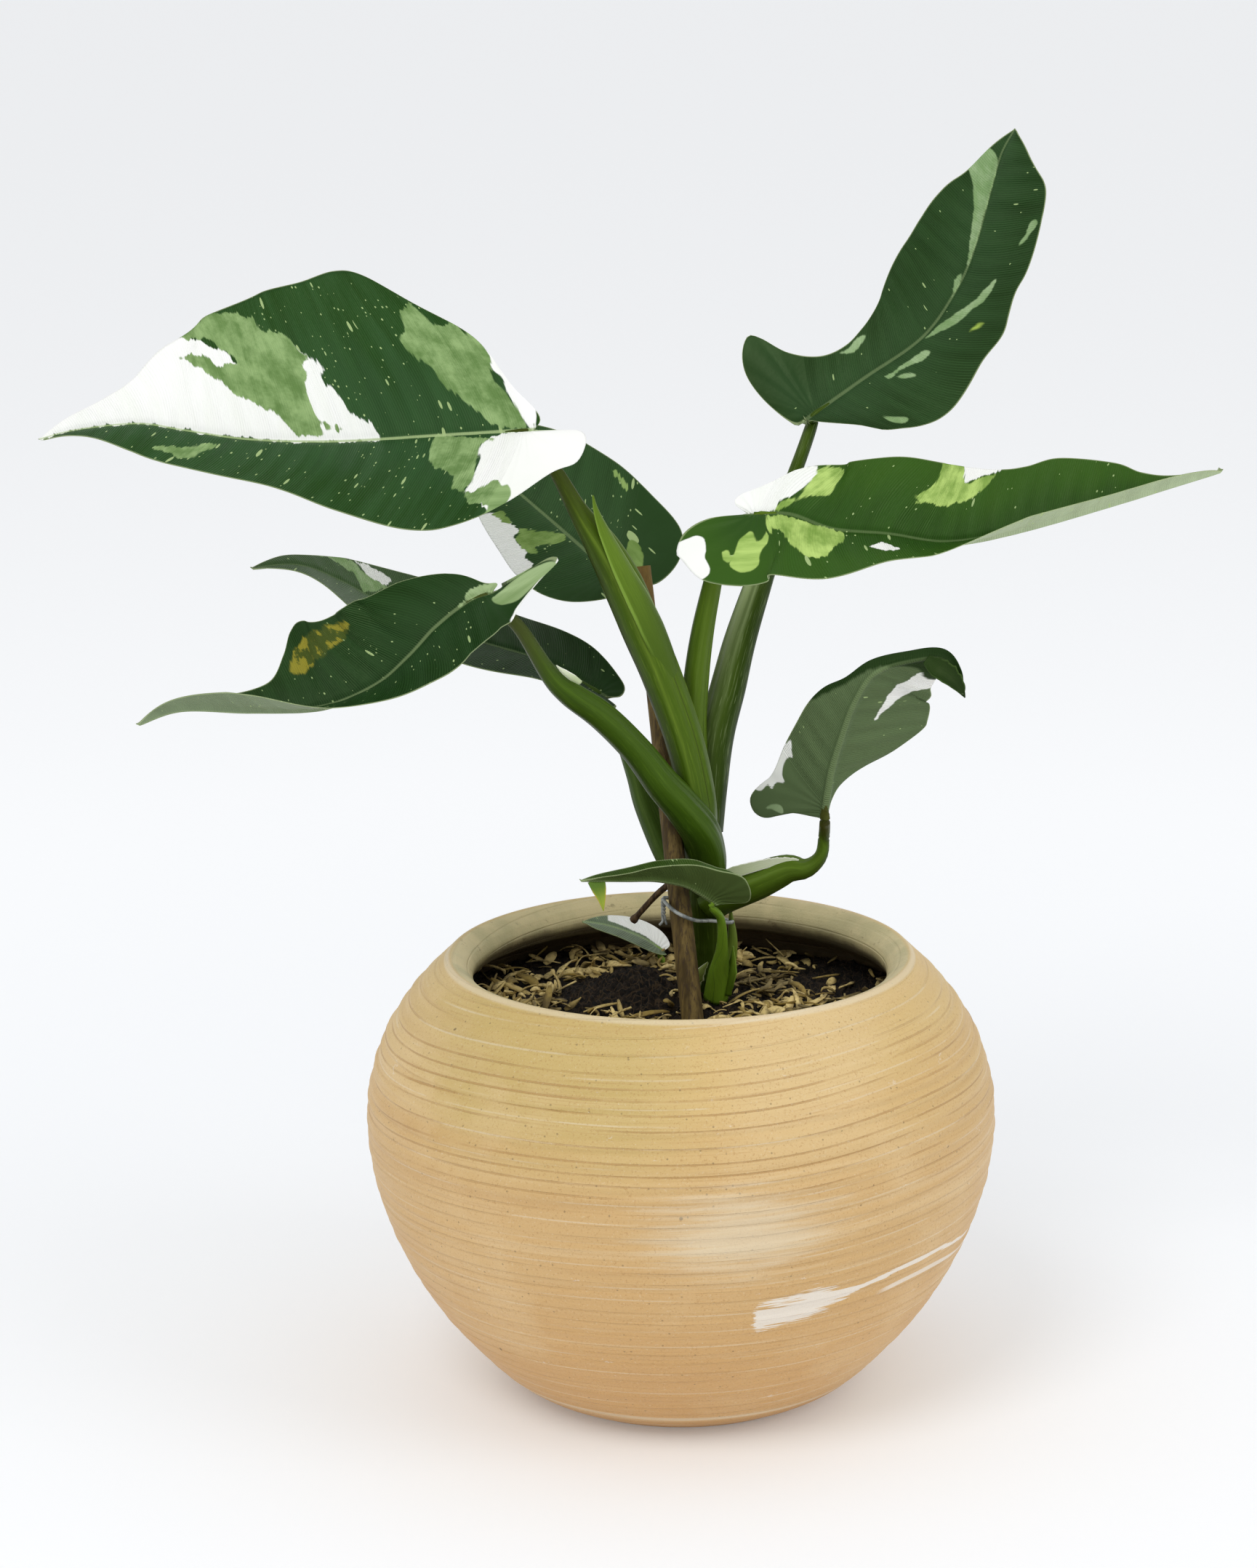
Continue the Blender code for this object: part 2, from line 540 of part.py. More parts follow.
def add_shavings(soil):
    """Wood shavings of many sizes, half sunk in the soil and joined to it."""
    draw = random.Random(21)
    group = bpy.data.collections.new("shavings")
    bpy.context.scene.collection.children.link(group)
    taken = list(BARE_PLACES)
    while len(group.objects) < SHAVINGS:
        turn, reach = draw.uniform(0, 2 * math.pi), SHAVING_REACH * math.sqrt(draw.random())
        x, y = reach * math.cos(turn), reach * math.sin(turn)
        if any(math.hypot(x - a, y - b) < room for a, b, room in taken):
            continue
        size = draw.uniform(*SHAVING_LONG)
        taken.append((x, y, size + 2))
        yaw, pitch = draw.uniform(0, math.pi), draw.uniform(-0.25, 0.25)
        along = np.array((math.cos(yaw) * math.cos(pitch), math.sin(yaw) * math.cos(pitch), math.sin(pitch)))
        side = np.array((-math.sin(yaw), math.cos(yaw), 0))
        up = np.cross(along, side)
        centre = np.array((x, y, soil_height(x, y, 0.5)))
        width, high = draw.uniform(*SHAVING_WIDE), draw.uniform(*SHAVING_HIGH)
        corners = []
        for a, b, c in ((-1, -1, -1), (1, -0.5, -1), (1, 0.5, -1), (-1, 1, -1),
                        (-1, -1, 1), (1, -0.5, 1), (1, 0.5, 1), (-1, 1, 1)):
            corners.append(centre + along * size * a + side * width * b + up * high * c)
        box = [(0, 3, 2, 1), (4, 5, 6, 7), (0, 1, 5, 4), (1, 2, 6, 5), (2, 3, 7, 6), (3, 0, 4, 7)]
        shaving = add_object("shaving", corners, box, "soil")
        outward(shaving)
        bpy.context.scene.collection.objects.unlink(shaving)
        group.objects.link(shaving)
    join = soil.modifiers.new("shavings", "BOOLEAN")
    join.operation = "UNION"
    join.operand_type = "COLLECTION"
    join.collection = group
    bpy.context.view_layer.update()
    apply_modifiers(soil)
    for shaving in list(group.objects):
        bpy.data.objects.remove(shaving)
    bpy.data.collections.remove(group)


def stalk_mesh(blade, spec, grow=0.0, short=0.0):
    """The stalk, turned at its top to meet the underside of the blade."""
    base, left, right = blade.place(np.array([2.0, 2.0, 2.0]), np.array([0.0, 1.5, -1.5]))
    ahead = blade.place(np.array([6.0]), np.array([0.0]))[0]
    facing = unit(np.cross(ahead - base, left - right))
    top = base - facing * (BLADE_THICKNESS / 2 + GAP + short)
    knee = base - facing * STALK_KNEE
    radii = spec["radii"]
    points = (top, knee, *spec["stalk"])
    return tube_mesh(points, (radii[0] * 0.85, radii[0] * 0.95, *radii), grow=grow)


def stem_mesh(grow=0.0):
    return tube_mesh(STEM_PATH, STEM_RADII, spacing=12, grow=grow)


def stake_mesh(grow=0.0):
    return tube_mesh(STAKE_PATH, STAKE_RADII, sides=8, spacing=40, grow=grow)


def wire_mesh(grow=0.0):
    return tube_mesh(WIRE_PATH, (WIRE_RADIUS,), sides=6, spacing=3, closed=True, grow=grow)


def build():
    for obj in list(bpy.data.objects):
        bpy.data.objects.remove(obj)
    turned("pot", pot_profile(), POT_SIDES, "pot")
    outward(add_object("main_stem", *stem_mesh(), "stem"))
    outward(add_object("stake", *stake_mesh(), "stake"))
    outward(add_object("tie_wire", *wire_mesh(), "wire"))
    old_stalk_shape = tube_mesh(OLD_STALK_PATH, OLD_STALK_RADII, sides=8, spacing=5)
    old_stalk = add_object("old_stalk", *old_stalk_shape, "old_stalk")
    outward(old_stalk)
    sheath_shape = tube_mesh(BASE_SHEATH_PATH, BASE_SHEATH_RADII, sides=8, spacing=6)
    sheath = add_object("base_sheath", *sheath_shape, "sheath")
    outward(sheath)
    swollen = [stem_mesh(GAP), stake_mesh(GAP), wire_mesh(GAP)]
    carve(old_stalk, swollen[:1])
    carve(sheath, swollen)
    stalks = {}
    for name in CARVING_ORDER:
        spec = LEAVES[name]
        blade = Blade(spec)
        outward(add_object(f"{name}_blade", *blade_mesh(blade, *spec["grid"]), "blade"))
        stalk = add_object(f"{name}_stalk", *stalk_mesh(blade, spec), "stalk")
        outward(stalk)
        around = blade_mesh(blade, *spec["grid"], grow=GAP)
        carve(stalk, [around, *swollen, *stalks.values()])
        stalks[name] = stalk_mesh(blade, spec, grow=STALK_GAP, short=-STALK_GAP)
    carve(old_stalk, [*stalks.values()])
    carve(sheath, [*stalks.values()])
    soil = soil_body()
    add_shavings(soil)
    holes = []
    for low, high, radius, sides in SOIL_HOLES:
        holes.append(tube_mesh((low, high), (radius, radius), sides=sides))
    carve(soil, holes)


build()
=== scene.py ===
import math
import random

import bpy
import numpy as np
from mathutils import Matrix, Vector


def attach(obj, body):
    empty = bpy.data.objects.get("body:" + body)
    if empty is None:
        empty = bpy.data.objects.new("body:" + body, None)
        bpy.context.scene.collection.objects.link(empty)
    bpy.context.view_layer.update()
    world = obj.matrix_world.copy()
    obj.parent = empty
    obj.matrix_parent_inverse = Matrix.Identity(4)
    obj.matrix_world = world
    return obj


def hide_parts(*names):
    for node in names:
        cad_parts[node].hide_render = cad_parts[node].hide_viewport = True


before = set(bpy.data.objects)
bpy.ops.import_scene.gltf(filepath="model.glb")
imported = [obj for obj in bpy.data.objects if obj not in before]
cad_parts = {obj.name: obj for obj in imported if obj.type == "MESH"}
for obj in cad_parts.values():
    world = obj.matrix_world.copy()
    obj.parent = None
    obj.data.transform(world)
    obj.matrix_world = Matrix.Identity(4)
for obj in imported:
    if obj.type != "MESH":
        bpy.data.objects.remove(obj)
bpy.ops.object.select_all(action="DESELECT")
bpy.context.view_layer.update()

# The camera stands a little above the plant and looks slightly down on it, with a long lens. Its
# place is in metres, like all that is in a material or a light. Meshes are given in millimetres.
CAMERA_PLACE = Vector((0, -1.172, 0.4805))
CAMERA_TARGET = Vector((-0.0156, 0, 0.1968))
CAMERA_ROLL = -0.0105
CAMERA_LENS = 88.31

ahead = (CAMERA_TARGET - CAMERA_PLACE).normalized()
level_right = ahead.cross(Vector((0, 0, 1))).normalized()
level_up = level_right.cross(ahead)
camera_right = math.cos(CAMERA_ROLL) * level_right + math.sin(CAMERA_ROLL) * level_up
camera_up = math.cos(CAMERA_ROLL) * level_up - math.sin(CAMERA_ROLL) * level_right
bpy.ops.object.camera_add()
camera = bpy.context.object
camera.matrix_world = Matrix.Translation(CAMERA_PLACE) @ Matrix(
    (camera_right, camera_up, -ahead)
).transposed().to_4x4()
camera.data.lens = CAMERA_LENS
camera.data.sensor_width = 36
bpy.context.scene.camera = camera
bpy.context.scene.view_settings.view_transform = "Standard"

# The pot is thrown from a buff stoneware clay with dark grains. The thrower's fingers left shallow
# ridges round the belly, the rim slopes inwards, and the foot is flat and a little bevelled.
MM = 0.001
POT_OUTSIDE = (
    (0, 46), (6, 57), (16, 67.5), (32, 80.6), (52, 91.6), (74, 98.5), (96, 99.6), (116, 93.9), (131, 84),
    (142, 73.3),
)
POT_RIM = (
    (141.9, 72.6), (141.2, 70.8), (139.5, 68.2), (137.5, 66.4), (135.5, 65.6), (133.5, 65.9), (131, 67.4),
)
POT_THROAT = 129
POT_WALL = 8
POT_FLOOR = 12
POT_FLOOR_REACH = 44.0
POT_BEVEL = ((0.6, 46.3), (0, 44.8))
POT_ROW_STEP = 0.7
POT_TURNS = 220
SPAN_STEPS = 16


def smooth_path(points, per_span=SPAN_STEPS):
    """A smooth curve through the points, sampled evenly between each two."""
    given = np.asarray(points, float)
    given = np.vstack([2 * given[0] - given[1], given, 2 * given[-1] - given[-2]])
    steps = np.arange(per_span)[:, None] / per_span
    spans = []
    for a, b, c, d in zip(given, given[1:], given[2:], given[3:]):
        bend = (2 * a - 5 * b + 4 * c - d) * steps**2 + (3 * b - a - 3 * c + d) * steps**3
        spans.append(0.5 * (2 * b + (c - a) * steps + bend))
    return np.vstack([*spans, given[-2:-1]])


def lengths_along(path):
    return np.concatenate([[0], np.cumsum(np.linalg.norm(np.diff(path, axis=0), axis=1))])


def at_lengths(path, lengths, wanted):
    return np.stack([np.interp(wanted, lengths, path[:, k]) for k in range(path.shape[1])], -1)


pot_curve = smooth_path(POT_OUTSIDE, 8)


def pot_radius(height):
    return np.interp(height, pot_curve[:, 0], pot_curve[:, 1])


pot_profile = [(POT_FLOOR, 0.0), (POT_FLOOR, POT_FLOOR_REACH)]
pot_profile += [(high, pot_radius(high) - POT_WALL) for high in np.linspace(POT_FLOOR + 3, POT_THROAT, 26)]
pot_profile += [tuple(pair) for pair in smooth_path(POT_RIM, 4)[::-1]]
outer_lengths = lengths_along(pot_curve)
outer = at_lengths(pot_curve, outer_lengths, np.arange(outer_lengths[-1], 0, -POT_ROW_STEP))
pot_profile += [tuple(pair) for pair in outer]
pot_profile += [*POT_BEVEL, (0, 0.0)]
profile_mesh = bpy.data.meshes.new("pot_body")
profile_points = [(radius * MM, 0, height * MM) for height, radius in pot_profile]
profile_edges = [(k, k + 1) for k in range(len(profile_points) - 1)]
profile_mesh.from_pydata(profile_points, profile_edges, [])
pot = bpy.data.objects.new("pot_body", profile_mesh)
bpy.context.scene.collection.objects.link(pot)
bpy.context.view_layer.objects.active = pot
pot.select_set(True)
bpy.ops.object.mode_set(mode="EDIT")
bpy.ops.mesh.select_all(action="SELECT")
bpy.ops.mesh.spin(steps=POT_TURNS, angle=2 * math.pi, center=(0, 0, 0), axis=(0, 0, 1))
bpy.ops.mesh.select_all(action="SELECT")
bpy.ops.mesh.remove_doubles(threshold=1e-5)
bpy.ops.mesh.normals_make_consistent(inside=False)
bpy.ops.object.mode_set(mode="OBJECT")
pot.select_set(False)

# The ridges rise slightly to the right, deepest just above the belly. For each set of ridges: how
# far apart they are, how high, and where they start.
RIDGE_LEAN = 0.04
RIDGES = ((9.1, 0.14, 0.4), (5.3, 0.24, 2.1), (3.9, 0.20, 4.0), (2.6, 0.10, 1.2))
RIDGE_HEIGHTS = (2, 40, 80, 96, 112, 130, 141)
RIDGE_DEPTHS = (0.25, 0.4, 0.6, 1.0, 1.5, 1.1, 0.0)
pot_points = np.empty(len(pot.data.vertices) * 3)
pot.data.vertices.foreach_get("co", pot_points)
pot_points = pot_points.reshape(-1, 3) / MM
pot_reach = np.hypot(pot_points[:, 0], pot_points[:, 1])
outside = (pot_reach > pot_radius(pot_points[:, 2]) - 1.5) & (pot_points[:, 2] > 1.5)
leaned = pot_points[:, 2] - RIDGE_LEAN * pot_points[:, 0]
turned_angle = np.arctan2(pot_points[:, 1], pot_points[:, 0])
relief = np.zeros(len(pot_points))
for period, high, start in RIDGES:
    wander = 0.5 * np.sin(turned_angle + start) + 0.25 * np.sin(2 * turned_angle + 2 * start)
    relief += high * (2 * np.abs(np.sin(math.pi * leaned / period + start + wander)) - 1.2)
depth = np.interp(pot_points[:, 2], RIDGE_HEIGHTS, RIDGE_DEPTHS)
grow = np.where(outside, 1 + depth * relief / np.maximum(pot_reach, 1), 1)
pot_points[:, :2] *= grow[:, None]
pot.data.vertices.foreach_set("co", (pot_points * MM).ravel())
pot.data.shade_smooth()


class Nodes:
    """A node tree, with short names for the nodes that the finishes use most."""

    def __init__(self, tree):
        self.tree = tree

    def add(self, kind, inputs=None, **settings):
        made = self.tree.nodes.new("ShaderNode" + kind)
        for key, value in settings.items():
            setattr(made, key, value)
        for key, value in (inputs or {}).items():
            self.put(value, made.inputs[key])
        return made

    def put(self, value, socket):
        if isinstance(value, bpy.types.NodeSocket):
            self.tree.links.new(value, socket)
        else:
            socket.default_value = value

    def maths(self, operation, *values):
        return self.add("Math", dict(enumerate(values)), operation=operation).outputs[0]

    def plus(self, a, b):
        return self.maths("ADD", a, b)

    def minus(self, a, b):
        return self.maths("SUBTRACT", a, b)

    def times(self, first, *others):
        for other in others:
            first = self.maths("MULTIPLY", first, other)
        return first

    def off_middle(self, value, width):
        """A grain moved from round a half to round 0, and made that many times as wide."""
        return self.times(self.minus(value, 0.5), width)

    def object_place(self):
        return self.add("TexCoord").outputs["Object"]

    def attribute(self, name):
        return self.add("Attribute", attribute_name=name).outputs["Vector"]

    def parts(self, vector):
        return self.add("SeparateXYZ", {0: vector}).outputs

    def joined(self, x, y, z):
        return self.add("CombineXYZ", {0: x, 1: y, 2: z}).outputs[0]

    def moved(self, vector, step):
        return self.add("VectorMath", {0: vector, 1: step}, operation="ADD").outputs[0]

    def length(self, vector):
        return self.add("VectorMath", {0: vector}, operation="LENGTH").outputs["Value"]

    def stretched(self, vector, scale):
        return self.add("Mapping", {"Vector": vector, "Scale": scale}).outputs["Vector"]

    def grain(self, vector, scale, detail=3, roughness=0.55):
        settings = {"Vector": vector, "Scale": scale, "Detail": detail, "Roughness": roughness}
        return self.add("TexNoise", settings).outputs["Fac"]

    def cells(self, vector, scale):
        """Uneven cells: how far each place is from its cell's middle, and two chance values of the cell."""
        made = self.add("TexVoronoi", {"Vector": vector, "Scale": scale})
        pick = self.add("SeparateColor", {0: made.outputs["Color"]}).outputs
        return made.outputs["Distance"], pick[0], pick[1]

    def eased(self, value, low, high):
        """0 at low and 1 at high, with a soft step between them, which may also run downwards."""
        settings = {"Value": value, "From Min": low, "From Max": high}
        return self.add("MapRange", settings, interpolation_type="SMOOTHSTEP").outputs[0]

    def blended(self, share, a, b):
        a, b = (tone if isinstance(tone, bpy.types.NodeSocket) else (*tone, 1) for tone in (a, b))
        return self.add("Mix", {0: share, 6: a, 7: b}, data_type="RGBA").outputs[2]

    def bump(self, height, distance, strength, normal=None):
        inputs = {"Height": height, "Distance": distance, "Strength": strength}
        if normal is not None:
            inputs["Normal"] = normal
        return self.add("Bump", inputs).outputs["Normal"]


class Finish(Nodes):
    """A material whose colour is built up in coats on its ground colour."""

    def __init__(self, name, ground, roughness, specular):
        self.material = bpy.data.materials.new(name)
        self.material.use_nodes = True
        super().__init__(self.material.node_tree)
        self.shader = self.tree.nodes["Principled BSDF"].inputs
        self.shader["Roughness"].default_value = roughness
        self.shader["Specular IOR Level"].default_value = specular
        self.colour = ground

    def coat(self, tone, *masks):
        """Lays a tone over the colour so far, as strongly as all the masks together let it."""
        self.colour = self.blended(self.times(*masks), self.colour, tone)

    def marked(self, group, *names):
        """A node group that marks the surface, fed with the piece's attributes of those names."""
        made = self.add("Group", node_tree=group)
        for name in names:
            self.put(self.attribute(name.lower()), made.inputs[name])
        return made

    def done(self, normal=None, roughness=None):
        """The material, with its colour and what else changes over the surface sent to its shader."""
        for key, value in (("Base Color", self.colour), ("Normal", normal), ("Roughness", roughness)):
            if value is not None:
                self.put(value, self.shader[key])
        return self.material


def finish_piece(piece, material, slot, *nodes):
    """Gives a piece its finish, and says which solids it stands for."""
    piece.data.materials.append(material)
    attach(piece, "root")
    if nodes:
        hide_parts(*nodes)


CLAY_TAN = (0.620, 0.405, 0.176)
CLAY_ORANGE = (0.615, 0.368, 0.146)
CLAY_OLIVE = (0.675, 0.480, 0.200)
CLAY_GREENISH = (0.555, 0.408, 0.145)
CLAY_PALE = (0.760, 0.570, 0.320)
CLAY_LINE = (0.400, 0.200, 0.060)
CLAY_DARK = (0.130, 0.085, 0.040)
# The chalky pale tone below is used for pale marks in the clay and also for painted highlights.
CLAY_CHALKY_AND_HIGHLIGHT = (0.780, 0.700, 0.530)
CLAY_SMEAR = (0.830, 0.780, 0.700)
CLAY_SOILED_AND_SHADED = (0.050, 0.036, 0.022)
STAIN_GREY = (0.460, 0.440, 0.240)
STAIN_PALE = (0.66, 0.58, 0.33)
STAIN_SPLASH = (0.17, 0.12, 0.05)

clay = Finish("buff_stoneware", CLAY_TAN, roughness=0.45, specular=0.35)
place = clay.object_place()
east, north, height = clay.parts(place)
tilted = clay.minus(height, clay.times(east, RIDGE_LEAN))
from_axis = clay.length(clay.joined(east, north, 0.0))


def ring_grain(wander, scale, detail=4, roughness=0.6):
    """A grain drawn out round the pot, which changes only a little with the way round."""
    ring_place = clay.joined(clay.times(east, wander), clay.times(north, wander), tilted)
    return clay.grain(ring_place, scale, detail, roughness)


# The top is paler and more olive and the bottom darker and more orange: partly the clay's own tone, partly
# painted light on the top and painted shade on the lower belly.
clay.coat(CLAY_OLIVE, clay.eased(height, 0.085, 0.135))
clay.coat(CLAY_ORANGE, clay.eased(height, 0.085, 0.02))
# The shoulder is more olive left of the middle and paler right of it.
shoulder = clay.eased(height, 0.088, 0.120)
clay.coat(CLAY_GREENISH, shoulder, clay.eased(east, 0.015, -0.020), clay.eased(east, -0.090, -0.062), 0.8)
clay.coat(CLAY_PALE, shoulder, clay.eased(east, 0.005, 0.025), clay.eased(east, 0.070, 0.050), 0.35)
bands = ring_grain(0.03, 170)
clay.coat(CLAY_LINE, clay.eased(bands, 0.52, 0.70), 0.16)
clay.coat(CLAY_PALE, clay.eased(bands, 0.46, 0.30), 0.40)
cloud = clay.grain(place, 22, 4)
clay.coat(CLAY_PALE, clay.eased(cloud, 0.50, 0.72), 0.35)
wobble = clay.times(clay.grain(place, 11, 0), 0.006)


def ring_lines(spacing, half_wide, rise=0.0):
    """Fine lines of one width all round, at uneven heights some spacing apart, in metres."""
    at = clay.plus(clay.plus(tilted, wobble), rise)
    lines = clay.add("TexVoronoi", {"W": clay.maths("DIVIDE", at, spacing), "Scale": 1.0},
                     voronoi_dimensions="1D", feature="DISTANCE_TO_EDGE")
    wide = half_wide / spacing
    return clay.eased(lines.outputs["Distance"], wide * 1.5, wide * 0.4)


# The throwing lines are broken and gather on the shoulder, with paler and finer ones between them.
broken = ring_grain(0.22, 110)
line = clay.times(ring_lines(0.0039, 0.00023), clay.eased(broken, 0.32, 0.58))
upper_lines = clay.times(clay.eased(height, 0.082, 0.105), clay.eased(height, 0.137, 0.124))
clay.coat(CLAY_LINE, line, clay.plus(clay.times(upper_lines, 0.46), 0.09))
clay.coat(CLAY_CHALKY_AND_HIGHLIGHT, ring_lines(0.0061, 0.00022, 0.003), clay.eased(broken, 0.56, 0.40), 0.35)
scratched = clay.eased(ring_grain(0.3, 95, 3), 0.46, 0.64)
clay.coat(CLAY_LINE, ring_lines(0.0017, 0.00013, 0.01), scratched, 0.22)
clay.coat(CLAY_ORANGE, clay.eased(ring_grain(0.05, 75, 3, 0.5), 0.50, 0.70), 0.22)
fine = clay.grain(place, 1500, 2, 0.7)
clay.coat(CLAY_LINE, clay.eased(fine, 0.58, 0.68), 0.45)
clay.coat(CLAY_CHALKY_AND_HIGHLIGHT, clay.eased(fine, 0.38, 0.28), 0.30)
# Dark grains of the clay, for each size: cells to the metre, the grain's share of its cell, how
# many of the cells have one, and how dark they are.
for scale, size, share, strength in ((520, 0.22, 0.10, 0.5), (160, 0.12, 0.018, 0.7)):
    distance, chance, _ = clay.cells(place, scale)
    picked = clay.maths("GREATER_THAN", chance, 1 - share)
    clay.coat(CLAY_DARK, clay.eased(distance, size, size * 0.5), picked, strength)
clay.coat(CLAY_SMEAR, clay.eased(ring_grain(0.5, 210, 4, 0.75), 0.67, 0.72), 0.35)
# A soft painted highlight lies on the front, a little right of the middle, with ragged edges.
HIGHLIGHT_MIDDLE = (0.018, -0.098, 0.083)
HIGHLIGHT_SCALE = (27, 24, 58)
highlight_place = clay.moved(place, tuple(-part for part in HIGHLIGHT_MIDDLE))
highlight_breakup = clay.off_middle(ring_grain(0.04, 520, 3, 0.7), 1.8)
highlight_spread = clay.plus(clay.length(clay.stretched(highlight_place, HIGHLIGHT_SCALE)), highlight_breakup)
clay.coat(CLAY_CHALKY_AND_HIGHLIGHT, clay.eased(highlight_spread, 1.05, 0.15), 0.50)
# The sloping rim and the wall below it are stained a greenish grey by water and soil.
stain = clay.times(clay.eased(from_axis, 0.0735, 0.0715), clay.eased(height, 0.05, 0.09))
stain_tone = clay.blended(clay.eased(clay.grain(place, 60, 4), 0.35, 0.65), STAIN_GREY, STAIN_PALE)
clay.coat(stain_tone, stain, 0.75)
clay.coat(STAIN_SPLASH, stain, clay.times(clay.eased(clay.grain(place, 210, 4, 0.75), 0.60, 0.70), 0.55))
# Below its throat the inside is dark, partly with soil and partly with painted shade.
SOIL_LINE = 0.116
inside = clay.plus(from_axis, clay.times(clay.minus(height, SOIL_LINE), 0.66))
soiled_and_shaded_top = clay.plus(height, clay.times(clay.grain(place, 70, 3, 0.6), 0.004))
soiled_and_shaded = clay.times(clay.eased(inside, 0.0895, 0.0875), clay.eased(soiled_and_shaded_top, 0.1390, 0.1345))
clay.coat(CLAY_SOILED_AND_SHADED, soiled_and_shaded, clay.eased(height, SOIL_LINE - 0.0005, SOIL_LINE + 0.0005), 0.88)
# A painted highlight runs along the lip. The foot has a pale line where its bevel begins, and is darker below
# it.
LIP_REACH = 0.0738
FOOT_EDGE = 0.0088
from_lip = clay.maths("ABSOLUTE", clay.minus(from_axis, LIP_REACH))
clay.coat(CLAY_CHALKY_AND_HIGHLIGHT, clay.eased(from_lip, 0.0012, 0.0004), clay.eased(height, 0.12, 0.135), 0.45)
from_foot = clay.maths("ABSOLUTE", clay.minus(height, FOOT_EDGE))
clay.coat(CLAY_CHALKY_AND_HIGHLIGHT, clay.eased(from_foot, 0.0011, 0.0004), 0.5)
clay.coat(CLAY_LINE, clay.eased(height, 0.0085, 0.006), 0.35)
# A white glaze smear was dragged up to the right, low on the front, and thins to two lines. The
# pairs give its height for each place to the right, both in tenths of a metre.
SMEAR_LINE = ((0.0, 0.50), (0.21, 0.528), (0.33, 0.55), (0.42, 0.572), (0.50, 0.578), (0.61, 0.602),
              (0.72, 0.614), (0.82, 0.608), (0.90, 0.58), (1.0, 0.50))
SMEAR_START = 0.0215
smear_middle = clay.add("FloatCurve", {1: clay.times(east, 10.0)})
smear_points = smear_middle.mapping.curves[0].points
smear_points[0].location = SMEAR_LINE[0]
smear_points[1].location = SMEAR_LINE[-1]
for pair in SMEAR_LINE[1:-1]:
    smear_points.new(*pair)
smear_middle.mapping.update()
from_smear = clay.minus(height, clay.times(smear_middle.outputs[0], 0.1))
half_wide = clay.plus(clay.times(clay.eased(east, 0.056, 0.038), 0.0036), 0.0008)
drag = clay.off_middle(ring_grain(0.035, 1300, 3, 0.65), 3.2)
smear_share = clay.plus(clay.maths("DIVIDE", clay.maths("ABSOLUTE", from_smear), half_wide), drag)
started = clay.maths("GREATER_THAN", clay.plus(east, clay.times(drag, 0.003)), SMEAR_START)
low_line = clay.maths("ABSOLUTE", clay.plus(from_smear, 0.0056))
low_share = clay.times(clay.eased(low_line, 0.0009, 0.0005), clay.eased(east, 0.058, 0.064), 0.8)
smear = clay.maths("MAXIMUM", clay.times(clay.eased(smear_share, 1.05, 0.85), started), low_share)
clay.coat(CLAY_SMEAR, smear, clay.maths("LESS_THAN", north, 0.0), 0.85)
throwing = clay.bump(clay.minus(bands, clay.times(line, 0.22)), 0.0010, 0.8)
clay_normal = clay.bump(fine, 0.00025, 0.6, throwing)
finish_piece(pot, clay.done(clay_normal, clay.plus(clay.times(cloud, 0.22), 0.36)), "clay", "pot")

# Dark potting soil fills the pot to below its throat, in crumbs and fibres, a little higher behind
# the stake. Pale curled wood shavings lie all over it, but for the feet of the stems and bare spots.
SOIL_TOP = 121
SOIL_EDGE = 82.0
SOIL_BOTTOM = 105.0
SOIL_MOUND = (-13, 20, 8, 14)
SOIL_RINGS = 150
SOIL_TURNS = 260
CRUMBS = ((7.1, 0.7, 0.3), (4.3, 0.6, 1.1), (2.7, 0.5, 2.3), (1.7, 0.35, 0.8), (1.1, 0.25, 1.9))
SOIL_BLACK = (0.003, 0.0025, 0.002)
SOIL_BROWN = (0.030, 0.019, 0.011)
SOIL_FIBRE = (0.05, 0.032, 0.016)


def add_piece(name, points, faces, attributes=None):
    """A smooth-shaded object from points in millimetres, with a value or a vector at each point."""
    mesh = bpy.data.meshes.new(name)
    mesh.from_pydata((np.asarray(points) * MM).tolist(), [], faces)
    mesh.validate()
    for key, values in (attributes or {}).items():
        values = np.asarray(values, np.float32)
        if values.ndim == 1:
            mesh.attributes.new(key, "FLOAT", "POINT").data.foreach_set("value", values)
        else:
            mesh.attributes.new(key, "FLOAT_VECTOR", "POINT").data.foreach_set("vector", values.ravel())
    mesh.shade_smooth()
    piece = bpy.data.objects.new(name, mesh)
    bpy.context.scene.collection.objects.link(piece)
    return piece


def quads(rows, columns, around=False, looped=False, turned=False, start=0):
    """Faces between rows of points. around closes each row, and looped joins the last row to the first."""
    faces = []
    for i in range(rows if looped else rows - 1):
        low, high = start + i * columns, start + (i + 1) % rows * columns
        for j in range(columns if around else columns - 1):
            k = (j + 1) % columns
            corners = (low + j, low + k, high + k, high + j)
            faces.append((corners[0], *corners[:0:-1]) if turned else corners)
    return faces


def fan(middle, start, count, around=True, turned=False):
    """Triangles from a middle point to each two neighbours in a row of points."""
    faces = []
    for j in range(count if around else count - 1):
        pair = (start + j, start + (j + 1) % count)
        faces.append((middle, *(pair[::-1] if turned else pair)))
    return faces


def soil_height(x, y):
    east, north, high, spread = SOIL_MOUND
    mound = high * np.exp(-((x - east) ** 2 + (y - north) ** 2) / (2 * spread**2))
    return SOIL_TOP + mound + 0.8 * np.sin(x / 9) * np.cos(y / 11)


def crumbs(x, y):
    """The soil's small lumps, in millimetres, from how long, how high and how far turned each set is."""
    high = np.zeros_like(x)
    for period, size, turn in CRUMBS:
        u = x * math.cos(turn) + y * math.sin(turn)
        v = y * math.cos(turn) - x * math.sin(turn)
        swirl = np.sin(2 * math.pi * u / period + 2.1 * np.sin(v / period * 1.7))
        high += size * swirl * np.cos(2 * math.pi * v / period + 1.3 * np.sin(u / period * 2.3))
    return high


